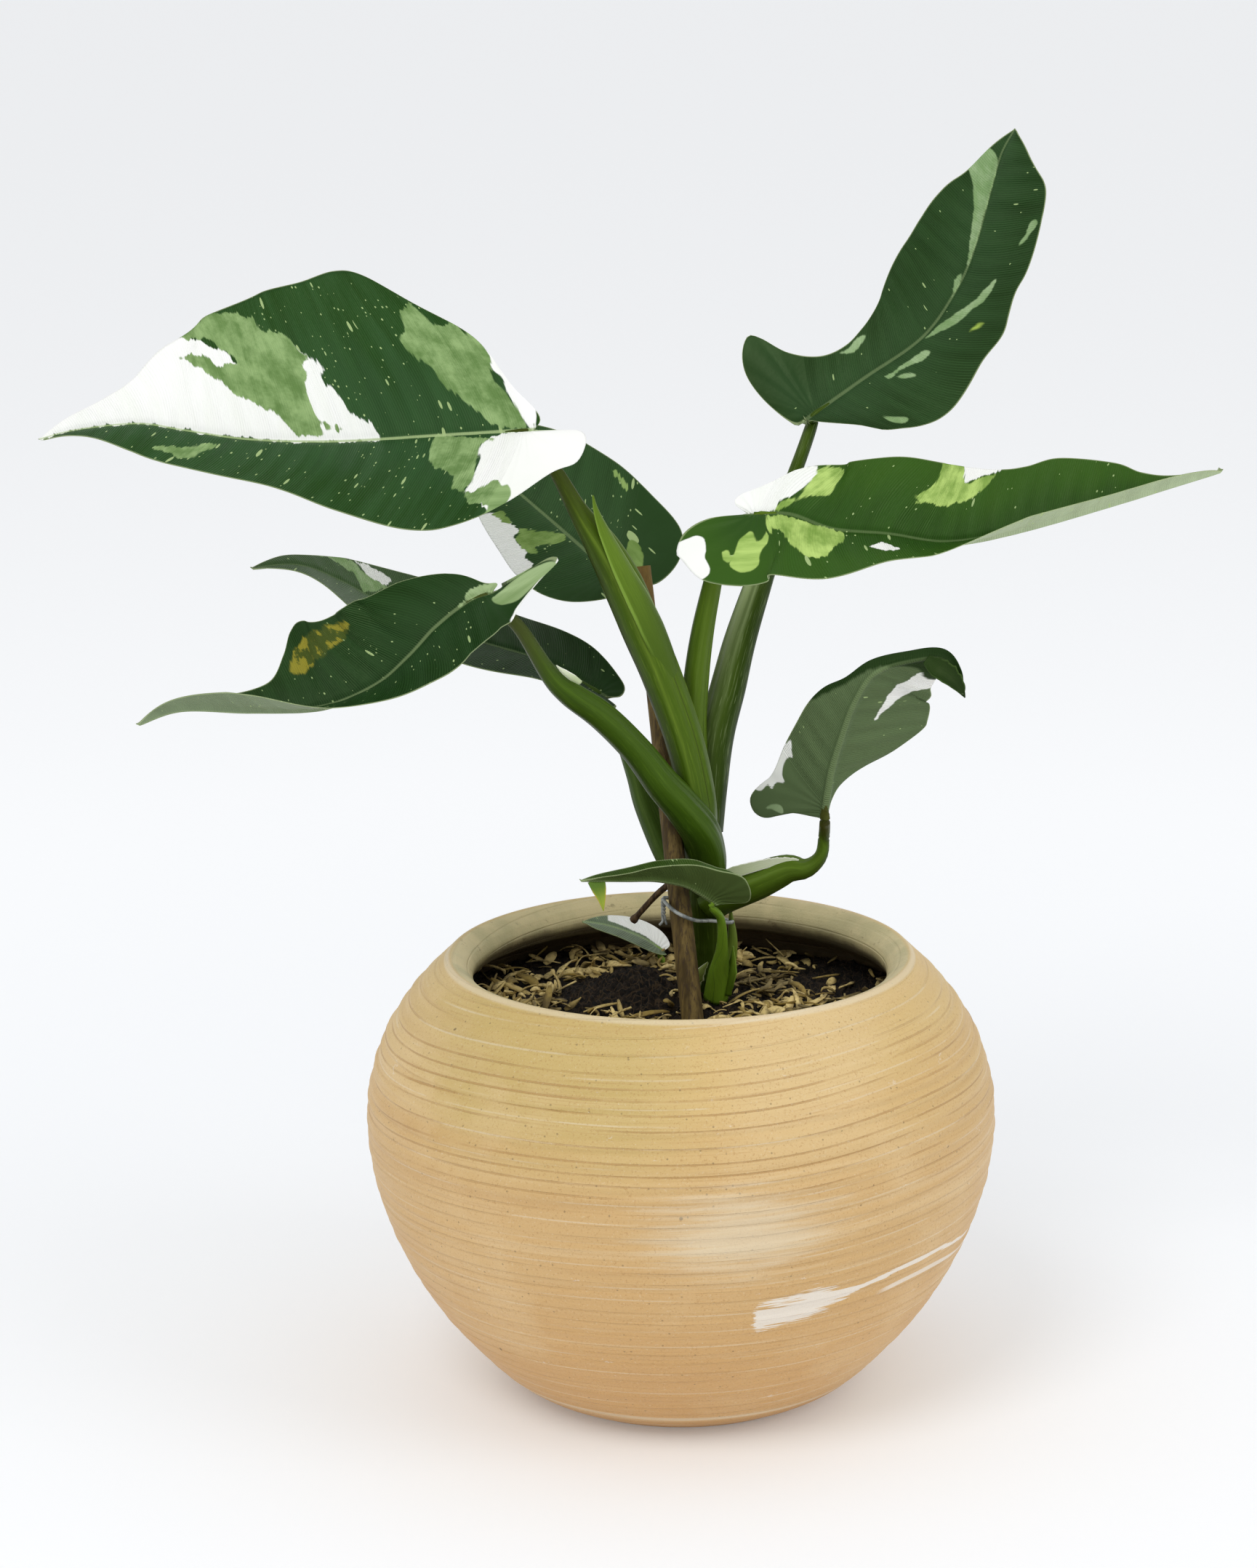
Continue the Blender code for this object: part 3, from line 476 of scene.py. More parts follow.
reach, turns = np.meshgrid(np.linspace(1, 0, SOIL_RINGS, endpoint=False)[::-1] * SOIL_EDGE,
                           np.arange(SOIL_TURNS) * 2 * math.pi / SOIL_TURNS, indexing="ij")
soil_x, soil_y = reach * np.cos(turns), reach * np.sin(turns)
soil_z = soil_height(soil_x, soil_y) + crumbs(soil_x, soil_y)
soil_z[-1] = SOIL_TOP - 2
soil_points = np.stack([soil_x, soil_y, soil_z], -1).reshape(-1, 3)
low_ring = np.stack([soil_x[-1] * 0.97, soil_y[-1] * 0.97, np.full(SOIL_TURNS, SOIL_BOTTOM)], -1)
soil_points = np.vstack([soil_points, low_ring, [(0, 0, SOIL_TOP), (0, 0, SOIL_BOTTOM)]])
soil_faces = quads(SOIL_RINGS + 1, SOIL_TURNS, around=True, turned=True)
soil_faces += fan(len(soil_points) - 2, 0, SOIL_TURNS)
soil_faces += fan(len(soil_points) - 1, SOIL_RINGS * SOIL_TURNS, SOIL_TURNS, turned=True)
soil = add_piece("potting_soil", soil_points, soil_faces)
earth = Finish("dark_potting_soil", SOIL_BLACK, roughness=0.92, specular=0.25)
place = earth.object_place()
lumps = earth.grain(place, 420, 5, 0.7)
earth.coat(SOIL_BROWN, earth.eased(lumps, 0.40, 0.70))
fibres = earth.add("TexVoronoi", {"Vector": earth.stretched(place, (1, 1, 0.4)), "Scale": 320.0},
                   feature="DISTANCE_TO_EDGE")
earth.coat(SOIL_FIBRE, earth.eased(fibres.outputs["Distance"], 0.06, 0.01))
finish_piece(soil, earth.done(earth.bump(lumps, 0.0012, 0.9)), "soil_mix", "soil")

# Most shavings are short and narrow. The feet of the stems are given as x, y and radius, and the
# bare spots as x, y, radius and the share of the shavings that is missing there.
SHAVING_COUNT = 1250
SHAVING_STEPS = 6
SHAVING_TAPER = np.array((0.45, 0.85, 1.0, 1.0, 0.8, 0.35))
SHAVING_REACH = 78
SHAVING_LIMIT = 80
STEM_FEET = ((9, 17, 6.0), (4.4, -9, 4.6), (-4, 52, 2.4), (12, 9, 5.4), (15.5, 16.5, 3.4))
BARE_SPOTS = ((-18, 14, 17, 0.95), (-14, 40, 12, 0.55), (58, 38, 22, 0.85), (6, -28, 17, 0.8),
              (-55, 56, 20, 0.6), (36, 66, 16, 0.6))
SHAVING_BROWN = (0.27, 0.185, 0.040)
SHAVING_PALE = (0.90, 0.70, 0.30)
SHAVING_STREAK = (0.13, 0.075, 0.03)
SHAVING_DIRT = (0.05, 0.034, 0.014)


def unit(vectors):
    return vectors / np.linalg.norm(vectors, axis=-1, keepdims=True)


def sides_of(path, across):
    """For each place on a path, the way across it and the way up from it."""
    tangents = unit(np.gradient(path, axis=0))
    side = unit(across - tangents * (tangents @ np.asarray(across, float))[:, None])
    return side, np.cross(tangents, side)


def strip(path, widths, thickness, across, curl):
    """A bent thin strip: its points and faces, four corners at each place along it."""
    side, up = sides_of(path, across)
    turn = np.linspace(-curl, curl, len(path))[:, None]
    side, up = np.cos(turn) * side + np.sin(turn) * up, np.cos(turn) * up - np.sin(turn) * side
    half = widths[:, None] / 2
    corners = []
    for wide, high in ((-1, -1), (1, -1), (1, 1), (-1, 1)):
        corners.append(path + side * half * wide + up * thickness / 2 * high)
    last = 4 * (len(path) - 1)
    ends = [(3, 2, 1, 0), (last, last + 1, last + 2, last + 3)]
    return np.stack(corners, 1).reshape(-1, 3), quads(len(path), 4, around=True) + ends


draw = random.Random(21)
shaving_points, shaving_faces, shaving_tone = [], [], []
along = np.linspace(-0.5, 0.5, SHAVING_STEPS)
while len(shaving_points) < SHAVING_COUNT:
    turn, far = draw.uniform(0, 2 * math.pi), SHAVING_REACH * math.sqrt(draw.random())
    x, y = far * math.cos(turn), far * math.sin(turn)
    if any(math.hypot(x - a, y - b) < room + 1.5 for a, b, room in STEM_FEET):
        continue
    bare = max((share * (math.hypot(x - a, y - b) < room) for a, b, room, share in BARE_SPOTS), default=0)
    if draw.random() < bare:
        continue
    long = draw.uniform(3, 7) if draw.random() < 0.6 else draw.uniform(7, 13)
    long = min(long, 2 * (SHAVING_LIMIT - far) + 3)
    yaw = draw.uniform(0, 2 * math.pi)
    pitch = draw.gauss(0, 0.28)
    bow = draw.uniform(-0.9, 0.9)
    wide = draw.uniform(0.6, 1.4) if draw.random() < 0.6 else draw.uniform(1.4, 3.0)
    lift = draw.uniform(-0.2, 2.0)
    heading = yaw + bow * along * 2
    climb = np.full(SHAVING_STEPS, math.sin(pitch))
    steps = np.stack([np.cos(heading), np.sin(heading), climb], -1) * long / (SHAVING_STEPS - 1)
    path = np.vstack([np.zeros(3), np.cumsum(steps, axis=0)])[:SHAVING_STEPS]
    path -= path.mean(0)
    path[:, 2] += draw.uniform(-0.5, 1.2) * (1 - (2 * along) ** 2)
    base = float(soil_height(np.array(x), np.array(y)))
    path += (x, y, base + lift + abs(math.sin(pitch)) * long * 0.3)
    roll = draw.uniform(-0.9, 0.9)
    across = np.array((-math.sin(yaw) * math.cos(roll), math.cos(yaw) * math.cos(roll), math.sin(roll)))
    thickness, curl = draw.uniform(0.25, 0.55), draw.uniform(-0.7, 0.7)
    points, faces = strip(path, wide * SHAVING_TAPER, thickness, across, curl)
    start = len(points) * len(shaving_points)
    shaving_points.append(points)
    shaving_faces += [tuple(v + start for v in face) for face in faces]
    tone = np.full(len(points), draw.random() ** 1.2)
    shaving_tone.append(np.stack([tone, np.repeat(along, 4), np.full(len(points), far / SHAVING_LIMIT)], -1))
shavings = add_piece("wood_shavings", np.vstack(shaving_points), shaving_faces,
                     {"tone": np.vstack(shaving_tone)})
wood = Finish("pale_wood_shavings", SHAVING_BROWN, roughness=0.78, specular=0.3)
place = wood.object_place()
wood.coat(SHAVING_PALE, wood.parts(wood.attribute("tone"))[0])
streaks = wood.grain(place, 700, 3, 0.6)
wood.coat(SHAVING_STREAK, wood.eased(streaks, 0.45, 0.7), 0.6)
wood.coat(SHAVING_DIRT, wood.eased(wood.grain(place, 55, 3), 0.50, 0.60), 0.70)
finish_piece(shavings, wood.done(wood.bump(streaks, 0.0003, 0.7)), "soil_mix")

# A split cane stake leans back from the front of the soil. Its top is sawn flat, and its long
# fibres and scraped skin show all the way down.
STAKE_PATH = ((10, -18, 62), (4, -8, 122), (-11, 22, 262))
STAKE_RADII = (3.7, 3.6, 2.8)
CANE_DARK = (0.060, 0.037, 0.008)
CANE_LIGHT = (0.200, 0.135, 0.038)
CANE_FIBRE = (0.05, 0.03, 0.016)
CANE_TOP = (0.23, 0.135, 0.030)


def swept(points, radii, sides, spacing, section=None, face=(0.13, 1.0, 0.21), closed=False):
    """A tube along a smooth curve: its points, faces and run, which is the length, turn and share.

    section gives each ring's radius factor from its turn and its share, and turn 0 is towards face.
    """
    given = np.asarray(points, float)
    if closed:
        path = smooth_path(np.vstack([given[-1:], given, given[:2]]))[SPAN_STEPS:-SPAN_STEPS]
    else:
        path = smooth_path(given)
    along = lengths_along(path)
    count = max(4, round(along[-1] / spacing)) + 1
    wanted = np.linspace(0, along[-1], count)
    knots = np.interp(np.arange(len(given)) * SPAN_STEPS, np.arange(len(path)), along)
    width = np.full(count, float(radii[0])) if closed else np.interp(wanted, knots, radii)
    if not closed:
        for _ in range(6):
            width[1:-1] = np.convolve(width, (0.25, 0.5, 0.25), "valid")
    centres = at_lengths(path, along, wanted)
    tangents = unit(np.gradient(centres, axis=0))
    if closed:
        centres, tangents, width, wanted = centres[:-1], tangents[:-1], width[:-1], wanted[:-1]
    side = unit(np.cross(tangents, np.asarray(face, float)))
    rise = np.cross(side, tangents)
    turn = np.arange(sides) * 2 * math.pi / sides
    share = wanted / along[-1]
    factor = section(turn[None, :], share[:, None]) if section else np.ones((len(centres), sides))
    reach = width[:, None, None] * factor[..., None]
    rings = centres[:, None, :] + reach * (
        np.cos(turn)[None, :, None] * rise[:, None, :] + np.sin(turn)[None, :, None] * side[:, None, :]
    )
    made = rings.reshape(-1, 3)
    run = np.stack([
        np.repeat(share * along[-1], sides), np.tile(turn, len(centres)), np.repeat(share, sides),
    ], -1)
    faces = quads(len(centres), sides, around=True, looped=closed)
    if not closed:
        faces += fan(len(made), 0, sides, turned=True)
        faces += fan(len(made) + 1, (len(centres) - 1) * sides, sides)
        made = np.vstack([made, centres[:1], centres[-1:]])
        run = np.vstack([run, (0, 0, 0), (along[-1], 0, 1)])
    return made, faces, run


def swept_piece(name, *shape, **settings):
    points, faces, run = swept(*shape, **settings)
    return add_piece(name, points, faces, {"run": run})


def hump(value, middle, width, power=2):
    """1 at the middle and falling away on both sides, with a flatter top for a higher power."""
    return np.exp(-(((value - middle) / width) ** power))


def stake_section(turn, share):
    """Round, with one side split flat, coarse and fine fibres, and a low node."""
    flat = 1 - 0.13 * np.maximum(np.cos(turn - 0.6), 0) ** 3
    coarse = 0.012 * np.sin(11 * turn + 3 * np.sin(9 * share))
    fine = 0.008 * np.sin(23 * turn + 5 * np.sin(6 * share))
    return flat + (coarse + fine) + 0.05 * hump(share, 0.46, 0.012)


stake = swept_piece("cane_stake", STAKE_PATH, STAKE_RADII, 44, 1.6, stake_section)
stake.data.set_sharp_from_angle(angle=math.radians(55))
cane = Finish("weathered_split_cane", CANE_DARK, roughness=0.68, specular=0.3)
place = cane.object_place()
fibres = cane.grain(cane.stretched(place, (1, 1, 0.04)), 1500, 4, 0.65)
broad = cane.grain(cane.stretched(place, (1, 1, 0.10)), 420, 3, 0.6)
cane.coat(CANE_LIGHT, cane.eased(broad, 0.35, 0.7))
cane.coat(CANE_FIBRE, cane.eased(fibres, 0.5, 0.62), 0.75)
cane.coat(CANE_TOP, cane.eased(cane.parts(cane.attribute("run"))[2], 0.80, 0.90), 0.65)
finish_piece(stake, cane.done(cane.bump(fibres, 0.0005, 0.8)), "cane", "stake")

# The short main stem is smooth and green, with the low ring scars of fallen leaves. Its skin and
# the stalks' skin have the same fine lines, painted light in front, painted shade behind and pale specks.
STEM_PATH = ((9, 17, 84), (9, 17, 122), (9, 17, 139), (8, 15, 156), (8, 15, 176), (7, 15, 190))
STEM_RADII = (4.6, 4.8, 4.8, 4.8, 4.6, 3.4)
STEM_SCARS = (0.42, 0.52, 0.66)
STEM_GREENS = ((0.026, 0.046, 0.003), (0.072, 0.120, 0.008), (0.13, 0.20, 0.03))
SKIN_GLEAM = (0.75, 0.9, 0.45, 1)


def stem_section(turn, share):
    scars = sum(hump(share, scar, 0.008) for scar in STEM_SCARS)
    return 1 + 0.06 * scars + 0.02 * np.sin(3 * turn + 8 * share)


def new_group(name, given, sent):
    """A node group with those inputs, by kind, and those outputs, all values."""
    group = bpy.data.node_groups.new(name, "ShaderNodeTree")
    for kind, sockets in given.items():
        for socket in sockets:
            group.interface.new_socket(socket, in_out="INPUT", socket_type="NodeSocket" + kind)
    for socket in sent:
        group.interface.new_socket(socket, in_out="OUTPUT", socket_type="NodeSocketFloat")
    return Nodes(group), group.nodes.new("NodeGroupInput").outputs, group.nodes.new("NodeGroupOutput").inputs


def skin_lines():
    """Shared skin marking: fine lines along the stalk, a mask for its painted light and shade, and specks,
    from the run attribute.
    """
    skin, given, sent = new_group("skin_lines", {"Vector": ("Run",)}, ("Lines", "Lit", "Specks", "Share"))
    along, turn, share = skin.parts(given["Run"])
    round_x = skin.maths("COSINE", turn)
    round_y = skin.maths("SINE", turn)
    lines_place = skin.joined(skin.times(along, 0.03), skin.times(round_x, 3.0), skin.times(round_y, 3.0))
    # Painted light on the side that turn 0 faces, and painted shade on the side away from it.
    lit = skin.plus(round_x, skin.off_middle(skin.grain(lines_place, 0.8, 2, 0.5), 1.6))
    skin.put(skin.grain(lines_place, 3.4, 3, 0.6), sent["Lines"])
    skin.put(skin.eased(lit, -0.9, 0.8), sent["Lit"])
    skin.put(skin.eased(skin.cells(lines_place, 2.6)[0], 0.16, 0.08), sent["Specks"])
    skin.put(share, sent["Share"])
    return skin.tree


skin_marking = skin_lines()


def stalk_material(name, dark, light, wing, top=None):
    """Green skin: painted shade behind and painted light in front, with pale sheath margins and perhaps a
    browner top.
    """
    skin = Finish(name, dark, roughness=0.40, specular=0.18)
    skin.shader["Specular Tint"].default_value = SKIN_GLEAM
    lines, lit, specks, share = skin.marked(skin_marking, "Run").outputs
    skin.coat(light, lit)
    skin.coat(wing, skin.eased(lines, 0.52, 0.72), 0.22)
    skin.coat(dark, skin.eased(lines, 0.46, 0.30), 0.25)
    skin.coat(wing, skin.add("Attribute", attribute_name="edge").outputs["Fac"], 0.85)
    if top:
        skin.coat(top, skin.eased(share, 0.34, 0.14), 0.75)
    skin.coat(wing, specks, 0.35)
    return skin.done(skin.bump(lines, 0.00025, 0.4))


stem = swept_piece("green_main_stem", STEM_PATH, STEM_RADII, 48, 1.2, stem_section)
finish_piece(stem, stalk_material("main_stem_skin", *STEM_GREENS), "green_stem", "main_stem")

# The nine blades each have their own midrib line, outline, fold and curl. Their shapes are needed
# first, because the stalks run up to their undersides. Their veins lean forward by VEIN_LEAN.
VEIN_LEAN = 0.45
# For each blade: its midrib, the outline of each half as lengths along and away from the midrib, how
# steeply each half rises from it, in degrees, and how much it curls up, in degrees a centimetre.
BLADE_SHAPES = {
    "a": dict(
        mid=((-43, -8, 310), (-73, -12, 309), (-103, -15, 308), (-129, -16, 309), (-149, -16, 312),
             (-163, -15, 314), (-182, -13, 312), (-194, -12, 309)),
        left=((-8, 0.5), (-14, 2), (-15, 7), (-11, 16), (-3, 20), (12, 32), (28, 41), (40, 41), (61, 31),
              (80, 21), (108, 16), (122, 12), (138, 4)),
        right=((-2, 3), (0, 7), (6, 14), (16, 29), (32, 40), (49, 52), (60, 54), (73, 50), (88, 46),
               (104, 38), (116, 26), (123, 14), (132, 8), (143, 4)),
        rises=((-33, -33, -30), (78, 74, 66)), curls=(0, -3),
    ),
    "b": dict(
        mid=((-19, 32, 256), (-33, 38, 268), (-50, 44, 282), (-65, 50, 294), (-77, 54, 300)),
        left=((-3, 3), (-2, 8), (5, 17), (14, 22), (24, 23), (34, 20), (45, 16), (57, 10), (66, 5)),
        right=((-5, 2), (-10, 9), (-9, 20), (-2, 28), (12, 30), (28, 31), (45, 28), (58, 20), (68, 9)),
        rises=((-42, -42, -40), (42, 42, 40)),
    ),
    "c": dict(
        mid=((-55, -40, 266), (-62, -43, 264), (-72, -48, 257), (-80, -52, 249), (-90, -55, 241),
             (-106, -57, 235), (-127, -56, 234), (-148, -54, 234), (-162, -52, 229)),
        left=((-9, 1), (-19, 2), (-21, 5), (-13, 7), (-5, 10), (4, 15), (24, 18), (38, 16), (52, 14),
              (65, 13), (80, 12), (95, 9), (108, 5)),
        right=((-2, 2), (3, 4), (10, 11), (22, 18), (36, 24), (53, 26), (69, 29), (74, 26), (76, 18),
               (80, 9), (92, 5), (106, 3)),
        rises=((-35, -20, 5, 40, 50), (72, 66, 55, 45, 40)), lobes=(18, 0),
    ),
    "d": dict(
        mid=((-23, 28, 219), (-42, 34, 229), (-66, 38, 236), (-89, 38, 245), (-107, 34, 256),
             (-120, 30, 262), (-135, 26, 262)),
        left=((-5, 2), (-3, 5), (6, 7), (19, 12), (45, 18), (67, 24), (86, 27), (97, 20), (108, 7)),
        right=((-4, 3), (-2, 8), (10, 13), (22, 15), (38, 17), (55, 20), (76, 18), (93, 12), (106, 6),
               (115, 4)),
        rises=((-15, -12, -12), (32, 30, 30)),
    ),
    "e": dict(
        mid=((41, 30, 307), (59, 34, 319), (78, 36, 332), (89, 36, 348), (94, 34, 361), (98, 31, 377),
             (101, 28, 389), (105, 26, 397)),
        left=((-4, 1), (-7, 12), (-7, 22), (-4, 29), (1, 33), (4, 30), (8, 21), (15, 14), (23, 12),
              (31, 14), (47, 20), (64, 22), (82, 19), (92, 15), (100, 9), (109, 4)),
        right=((3, 4), (12, 14), (18, 21), (29, 26), (38, 27), (50, 23), (60, 24), (71, 21), (80, 22),
               (99, 21), (108, 18), (114, 9)),
        face=(-0.42, -0.85, 0.32), rises=((14, 14, 10), (10, 14, 10)), curls=(-3, -3),
    ),
    "f": dict(
        mid=((22, 2, 282), (35, 0, 282), (48, -4, 278), (65, -8, 277), (83, -11, 275), (104, -14, 279),
             (132, -16, 287), (148, -16, 292), (166, -14, 297)),
        left=((-4, 3), (-2, 6), (8, 10), (20, 19), (41, 24), (52, 25), (67, 24), (83, 20), (92, 19),
              (103, 19), (119, 13), (126, 7), (134, 3)),
        right=((-12, 2), (-19, 7), (-21, 14), (-19, 17), (-12, 24), (0, 26), (14, 25), (30, 21), (48, 15),
               (68, 12), (88, 10), (108, 8), (130, 5), (142, 3)),
        rises=((70, 66, 60, 50), (-50, -35, -12, 25, 38, 40)),
    ),
    "g": dict(
        mid=((46, 8, 184), (48, 4, 199), (51, 0, 211), (55, -5, 224), (61, -9, 234), (72, -10, 238),
             (82, -12, 239), (87, -15, 234), (88, -18, 228)),
        left=((1, 1), (6, 2), (11, 4), (16, 8), (20, 12), (28, 20), (39, 27), (46, 27), (62, 22), (66, 16),
              (73, 9), (83, 5)),
        right=((-2, 2), (-5, 8), (-8, 12), (-13, 16), (-14, 20), (-12, 23), (-9, 24), (-4, 23), (4, 20),
               (13, 18), (22, 16), (32, 14), (40, 11), (48, 6), (56, 4), (68, 3), (82, 3)),
        face=(0.1, 0.9, 0.4), rises=((25, 20, 10), (25, 20, 10)), even=0.5,
    ),
    "h": dict(
        mid=((12, -11, 161), (7, -13, 165), (2, -14, 168), (-7, -15, 170), (-16, -15, 170), (-24, -15, 170),
             (-31, -15, 170)),
        left=((-3, 3), (-6, 8), (-2, 13), (4, 15), (12, 12), (21, 8), (31, 4)),
        right=((-3, 3), (-8, 9), (-5, 14), (4, 12), (14, 9), (26, 6), (38, 3)),
        rises=((45, 45, 35), (50, 38, 25)),
    ),
    "i": dict(
        mid=((-5, 50, 128), (-13, 50, 133), (-23, 49, 137), (-32, 48, 139)),
        left=((-1, 2), (3, 5), (10, 7), (18, 6), (25, 4)),
        right=((-1, 4), (2, 7), (8, 8), (15, 7), (23, 4)),
        rises=((-15, -15, -15), (25, 25, 25)),
    ),
}


class Blade:
    """A leaf's surface: a flat shape folded and curled along its midrib."""

    def __init__(self, shape):
        self.path = smooth_path(shape["mid"])
        self.along = lengths_along(self.path)
        self.length = self.along[-1]
        even = shape.get("even", 0)
        chord = unit(self.path[-1] - self.path[0])
        self.tangents = unit(np.gradient(self.path, self.along, axis=0))
        self.tangents = unit(self.tangents * (1 - even) + chord * even)
        self.face = np.asarray(shape.get("face", (0, 0, 1)), float)
        self.rises = shape["rises"]
        self.curls = shape.get("curls", (0, 0))
        self.lobes = shape.get("lobes", (0, 0))
        self.outlines = (shape["left"], shape["right"])

    def place(self, s, w):
        """The point s along the midrib and w to its left, or to its right where w is negative."""
        s, w = np.asarray(s, float), np.asarray(w, float)
        inside = np.clip(s, 0, self.length)
        tangent = unit(at_lengths(self.tangents, self.along, inside))
        across = unit(np.cross(self.face, tangent))
        lift = np.cross(tangent, across)
        left = w >= 0
        centre = at_lengths(self.path, self.along, inside) + tangent * (s - inside)[..., None]
        tilt = np.radians(np.where(left, *self.lobes))
        centre = centre + lift * (np.maximum(-s, 0) * np.sin(tilt))[..., None]
        rises = []
        for given in self.rises:
            rises.append(np.interp(inside / self.length, np.linspace(0, 1, len(given)), given))
        start = np.radians(np.where(left, *rises))
        bend = np.radians(np.where(left, *self.curls)) / 10 + 1e-7
        turned = start + bend * np.abs(w)
        out = (np.sin(turned) - np.sin(start)) / bend
        up = (np.cos(start) - np.cos(turned)) / bend
        return centre + across * (np.where(left, 1, -1) * out)[..., None] + lift * up[..., None]

    def margin(self, outline, stations, lobe_rows):
        """The margin's flat points, one for each vein that leaves the midrib at a station."""
        edge = smooth_path(((0, 0), *outline, (self.length, 0)), 24)
        edge[:, 1] = np.maximum(edge[:, 1], 0)
        lead = edge[:, 0] - VEIN_LEAN * edge[:, 1]
        last = np.nonzero(lead <= stations[lobe_rows])[0][-1]
        lobe = edge[: last + 1]
        along = lengths_along(lobe)
        first = at_lengths(lobe, along, np.linspace(0, along[-1], lobe_rows + 1))
        rest = np.maximum.accumulate(lead[last:]) + np.arange(len(lead) - last) * 1e-6
        share = np.interp(stations[lobe_rows + 1 :], rest, np.arange(len(rest)))
        return np.vstack([first, at_lengths(edge[last:], np.arange(len(rest)), share)])


blades = {letter: Blade(shape) for letter, shape in BLADE_SHAPES.items()}

# Each leaf stalk is bare and thin at the top. Lower down it widens into a grooved sheath that wraps
# the stem, with a paler margin. For each stalk: its points from the blade down, and its radii.
STALKS = {
    "a": (((-37, -5, 297), (-30, -4, 284), (-23, -3, 273), (-17, -1, 261), (-11, 0, 246), (-5, 1, 231),
           (2, 2, 210), (6, 5, 190), (7, 9, 177), (8, 13, 168)),
          (2.1, 3.0, 5.3, 6.4, 6.4, 6.2, 6.0, 5.8, 5.4, 4.8)),
    "b": (((-15, 31, 245), (-9, 30, 232), (-4, 28, 218), (0, 26, 199), (4, 23, 183), (7, 19, 172)),
          (2.2, 2.5, 3.0, 3.4, 3.8, 3.6)),
    "c": (((-48, -37, 255), (-39, -31, 239), (-33, -27, 232), (-23, -20, 223), (-13, -13, 211),
           (-5, -8, 199), (1, -4, 191), (7, 2, 181), (9, 8, 171), (9, 13, 161)),
          (2.0, 2.8, 4.0, 4.6, 4.8, 5.5, 6.0, 6.6, 7.0, 6.6)),
    "d": (((-20, 29, 211), (-17, 28, 204), (-13, 27, 193), (-10, 25, 183), (-3, 21, 167), (5, 18, 157)),
          (2.2, 2.8, 3.6, 4.0, 4.2, 4.0)),
    "e": (((40, 30, 297), (37, 29, 289), (33, 28, 278), (30, 27, 267), (26, 26, 256), (20, 24, 238),
           (16, 22, 223), (12, 20, 208), (10, 19, 192), (9, 18, 177)),
          (2.1, 2.2, 2.4, 3.6, 4.4, 5.2, 5.8, 6.0, 5.8, 5.2)),
    "f": (((17, 6, 274), (13, 8, 267), (11, 10, 258), (8, 12, 243), (6, 13, 228), (5, 14, 212),
           (6, 15, 195), (7, 16, 180)),
          (2.0, 2.4, 3.0, 3.6, 4.0, 4.2, 4.2, 3.8)),
    "g": (((46, 8, 177), (45, 9, 170.5), (40.5, 10, 166.4), (34.5, 11, 166), (25, 12, 162), (15, 13, 158),
           (9, 15, 154)),
          (1.8, 2.0, 3.0, 5.0, 6.2, 6.6, 6.4)),
    "h": (((13, -8, 155), (13.5, -2, 144), (12.5, 5, 133), (11.5, 9, 124)), (1.3, 1.8, 3.6, 4.0)),
    "i": (((-4.5, 51, 122), (-4, 52, 112)), (1.0, 1.1)),
}
# For each sheath: the share of the stalk where it starts and is fully open, the side its groove
# faces, how deep the groove is, and how pale its margins are.
SHEATHS = {
    "a": (0.12, 0.26, (0.75, -0.75, 0.2), 0.13, 0.75),
    "b": (0.3, 0.6, (0.4, -0.8, 0.2), 0.08, 0.5),
    "c": (0.16, 0.34, (0.55, -0.45, 0.75), 0.12, 0.35),
    "d": (0.3, 0.6, (0.5, -0.8, 0.2), 0.10, 0.5),
    "e": (0.20, 0.30, (-0.86, -0.50, 0.1), 0.08, 1.0),
    "f": (0.25, 0.5, (0.8, -0.6, 0.1), 0.06, 0.5),
    "g": (0.38, 0.55, (-0.1, -0.35, 0.9), 0.14, 0.5),
}
# For each stalk: its green in painted shade and in painted light, its sheath margins, and for some a browner
# top.
STALK_GREENS = {
    "a": ((0.020, 0.031, 0.002), (0.050, 0.098, 0.005), (0.19, 0.29, 0.030), (0.034, 0.040, 0.005)),
    "b": ((0.020, 0.050, 0.008), (0.050, 0.090, 0.015), (0.10, 0.16, 0.03)),
    "c": ((0.018, 0.040, 0.003), (0.042, 0.088, 0.005), (0.11, 0.20, 0.016), (0.060, 0.068, 0.018)),
    "d": ((0.020, 0.044, 0.005), (0.048, 0.092, 0.012), (0.16, 0.24, 0.06)),
    "e": ((0.014, 0.034, 0.002), (0.042, 0.078, 0.005), (0.42, 0.52, 0.24)),
    "f": ((0.040, 0.080, 0.006), (0.084, 0.148, 0.010), (0.14, 0.22, 0.030)),
    "g": ((0.026, 0.048, 0.003), (0.066, 0.120, 0.008), (0.15, 0.24, 0.022), (0.055, 0.043, 0.012)),
    "h": ((0.060, 0.120, 0.008), (0.140, 0.250, 0.018), (0.26, 0.40, 0.040)),
    "i": ((0.12, 0.20, 0.02), (0.22, 0.36, 0.04), (0.36, 0.50, 0.10)),
}


def stalk_line(letter):
    """The stalk's middle line and radii, with its top let into the underside of the midrib."""
    points, radii = STALKS[letter]
    small = 0.5 if letter in "hi" else 1.0
    starts = np.array([2.0, 2.0, 2.0, 9.0, 9.5]) * small
    base, left, right, ahead, further = blades[letter].place(starts, np.array([0.0, 1.5, -1.5, 0.0, 0.0]))
    facing = unit(np.cross(further - base, left - right))
    line = (ahead - facing * 0.6, base - facing * 1.3 * small, base - facing * 4.5 * small, *points)
    return line, (radii[0] * 0.3, radii[0] * 0.72, radii[0] * 0.95, *radii)


def wrapped(turn):
    """A turn as an angle on either side of the groove."""
    return (turn + math.pi) % (2 * math.pi) - math.pi


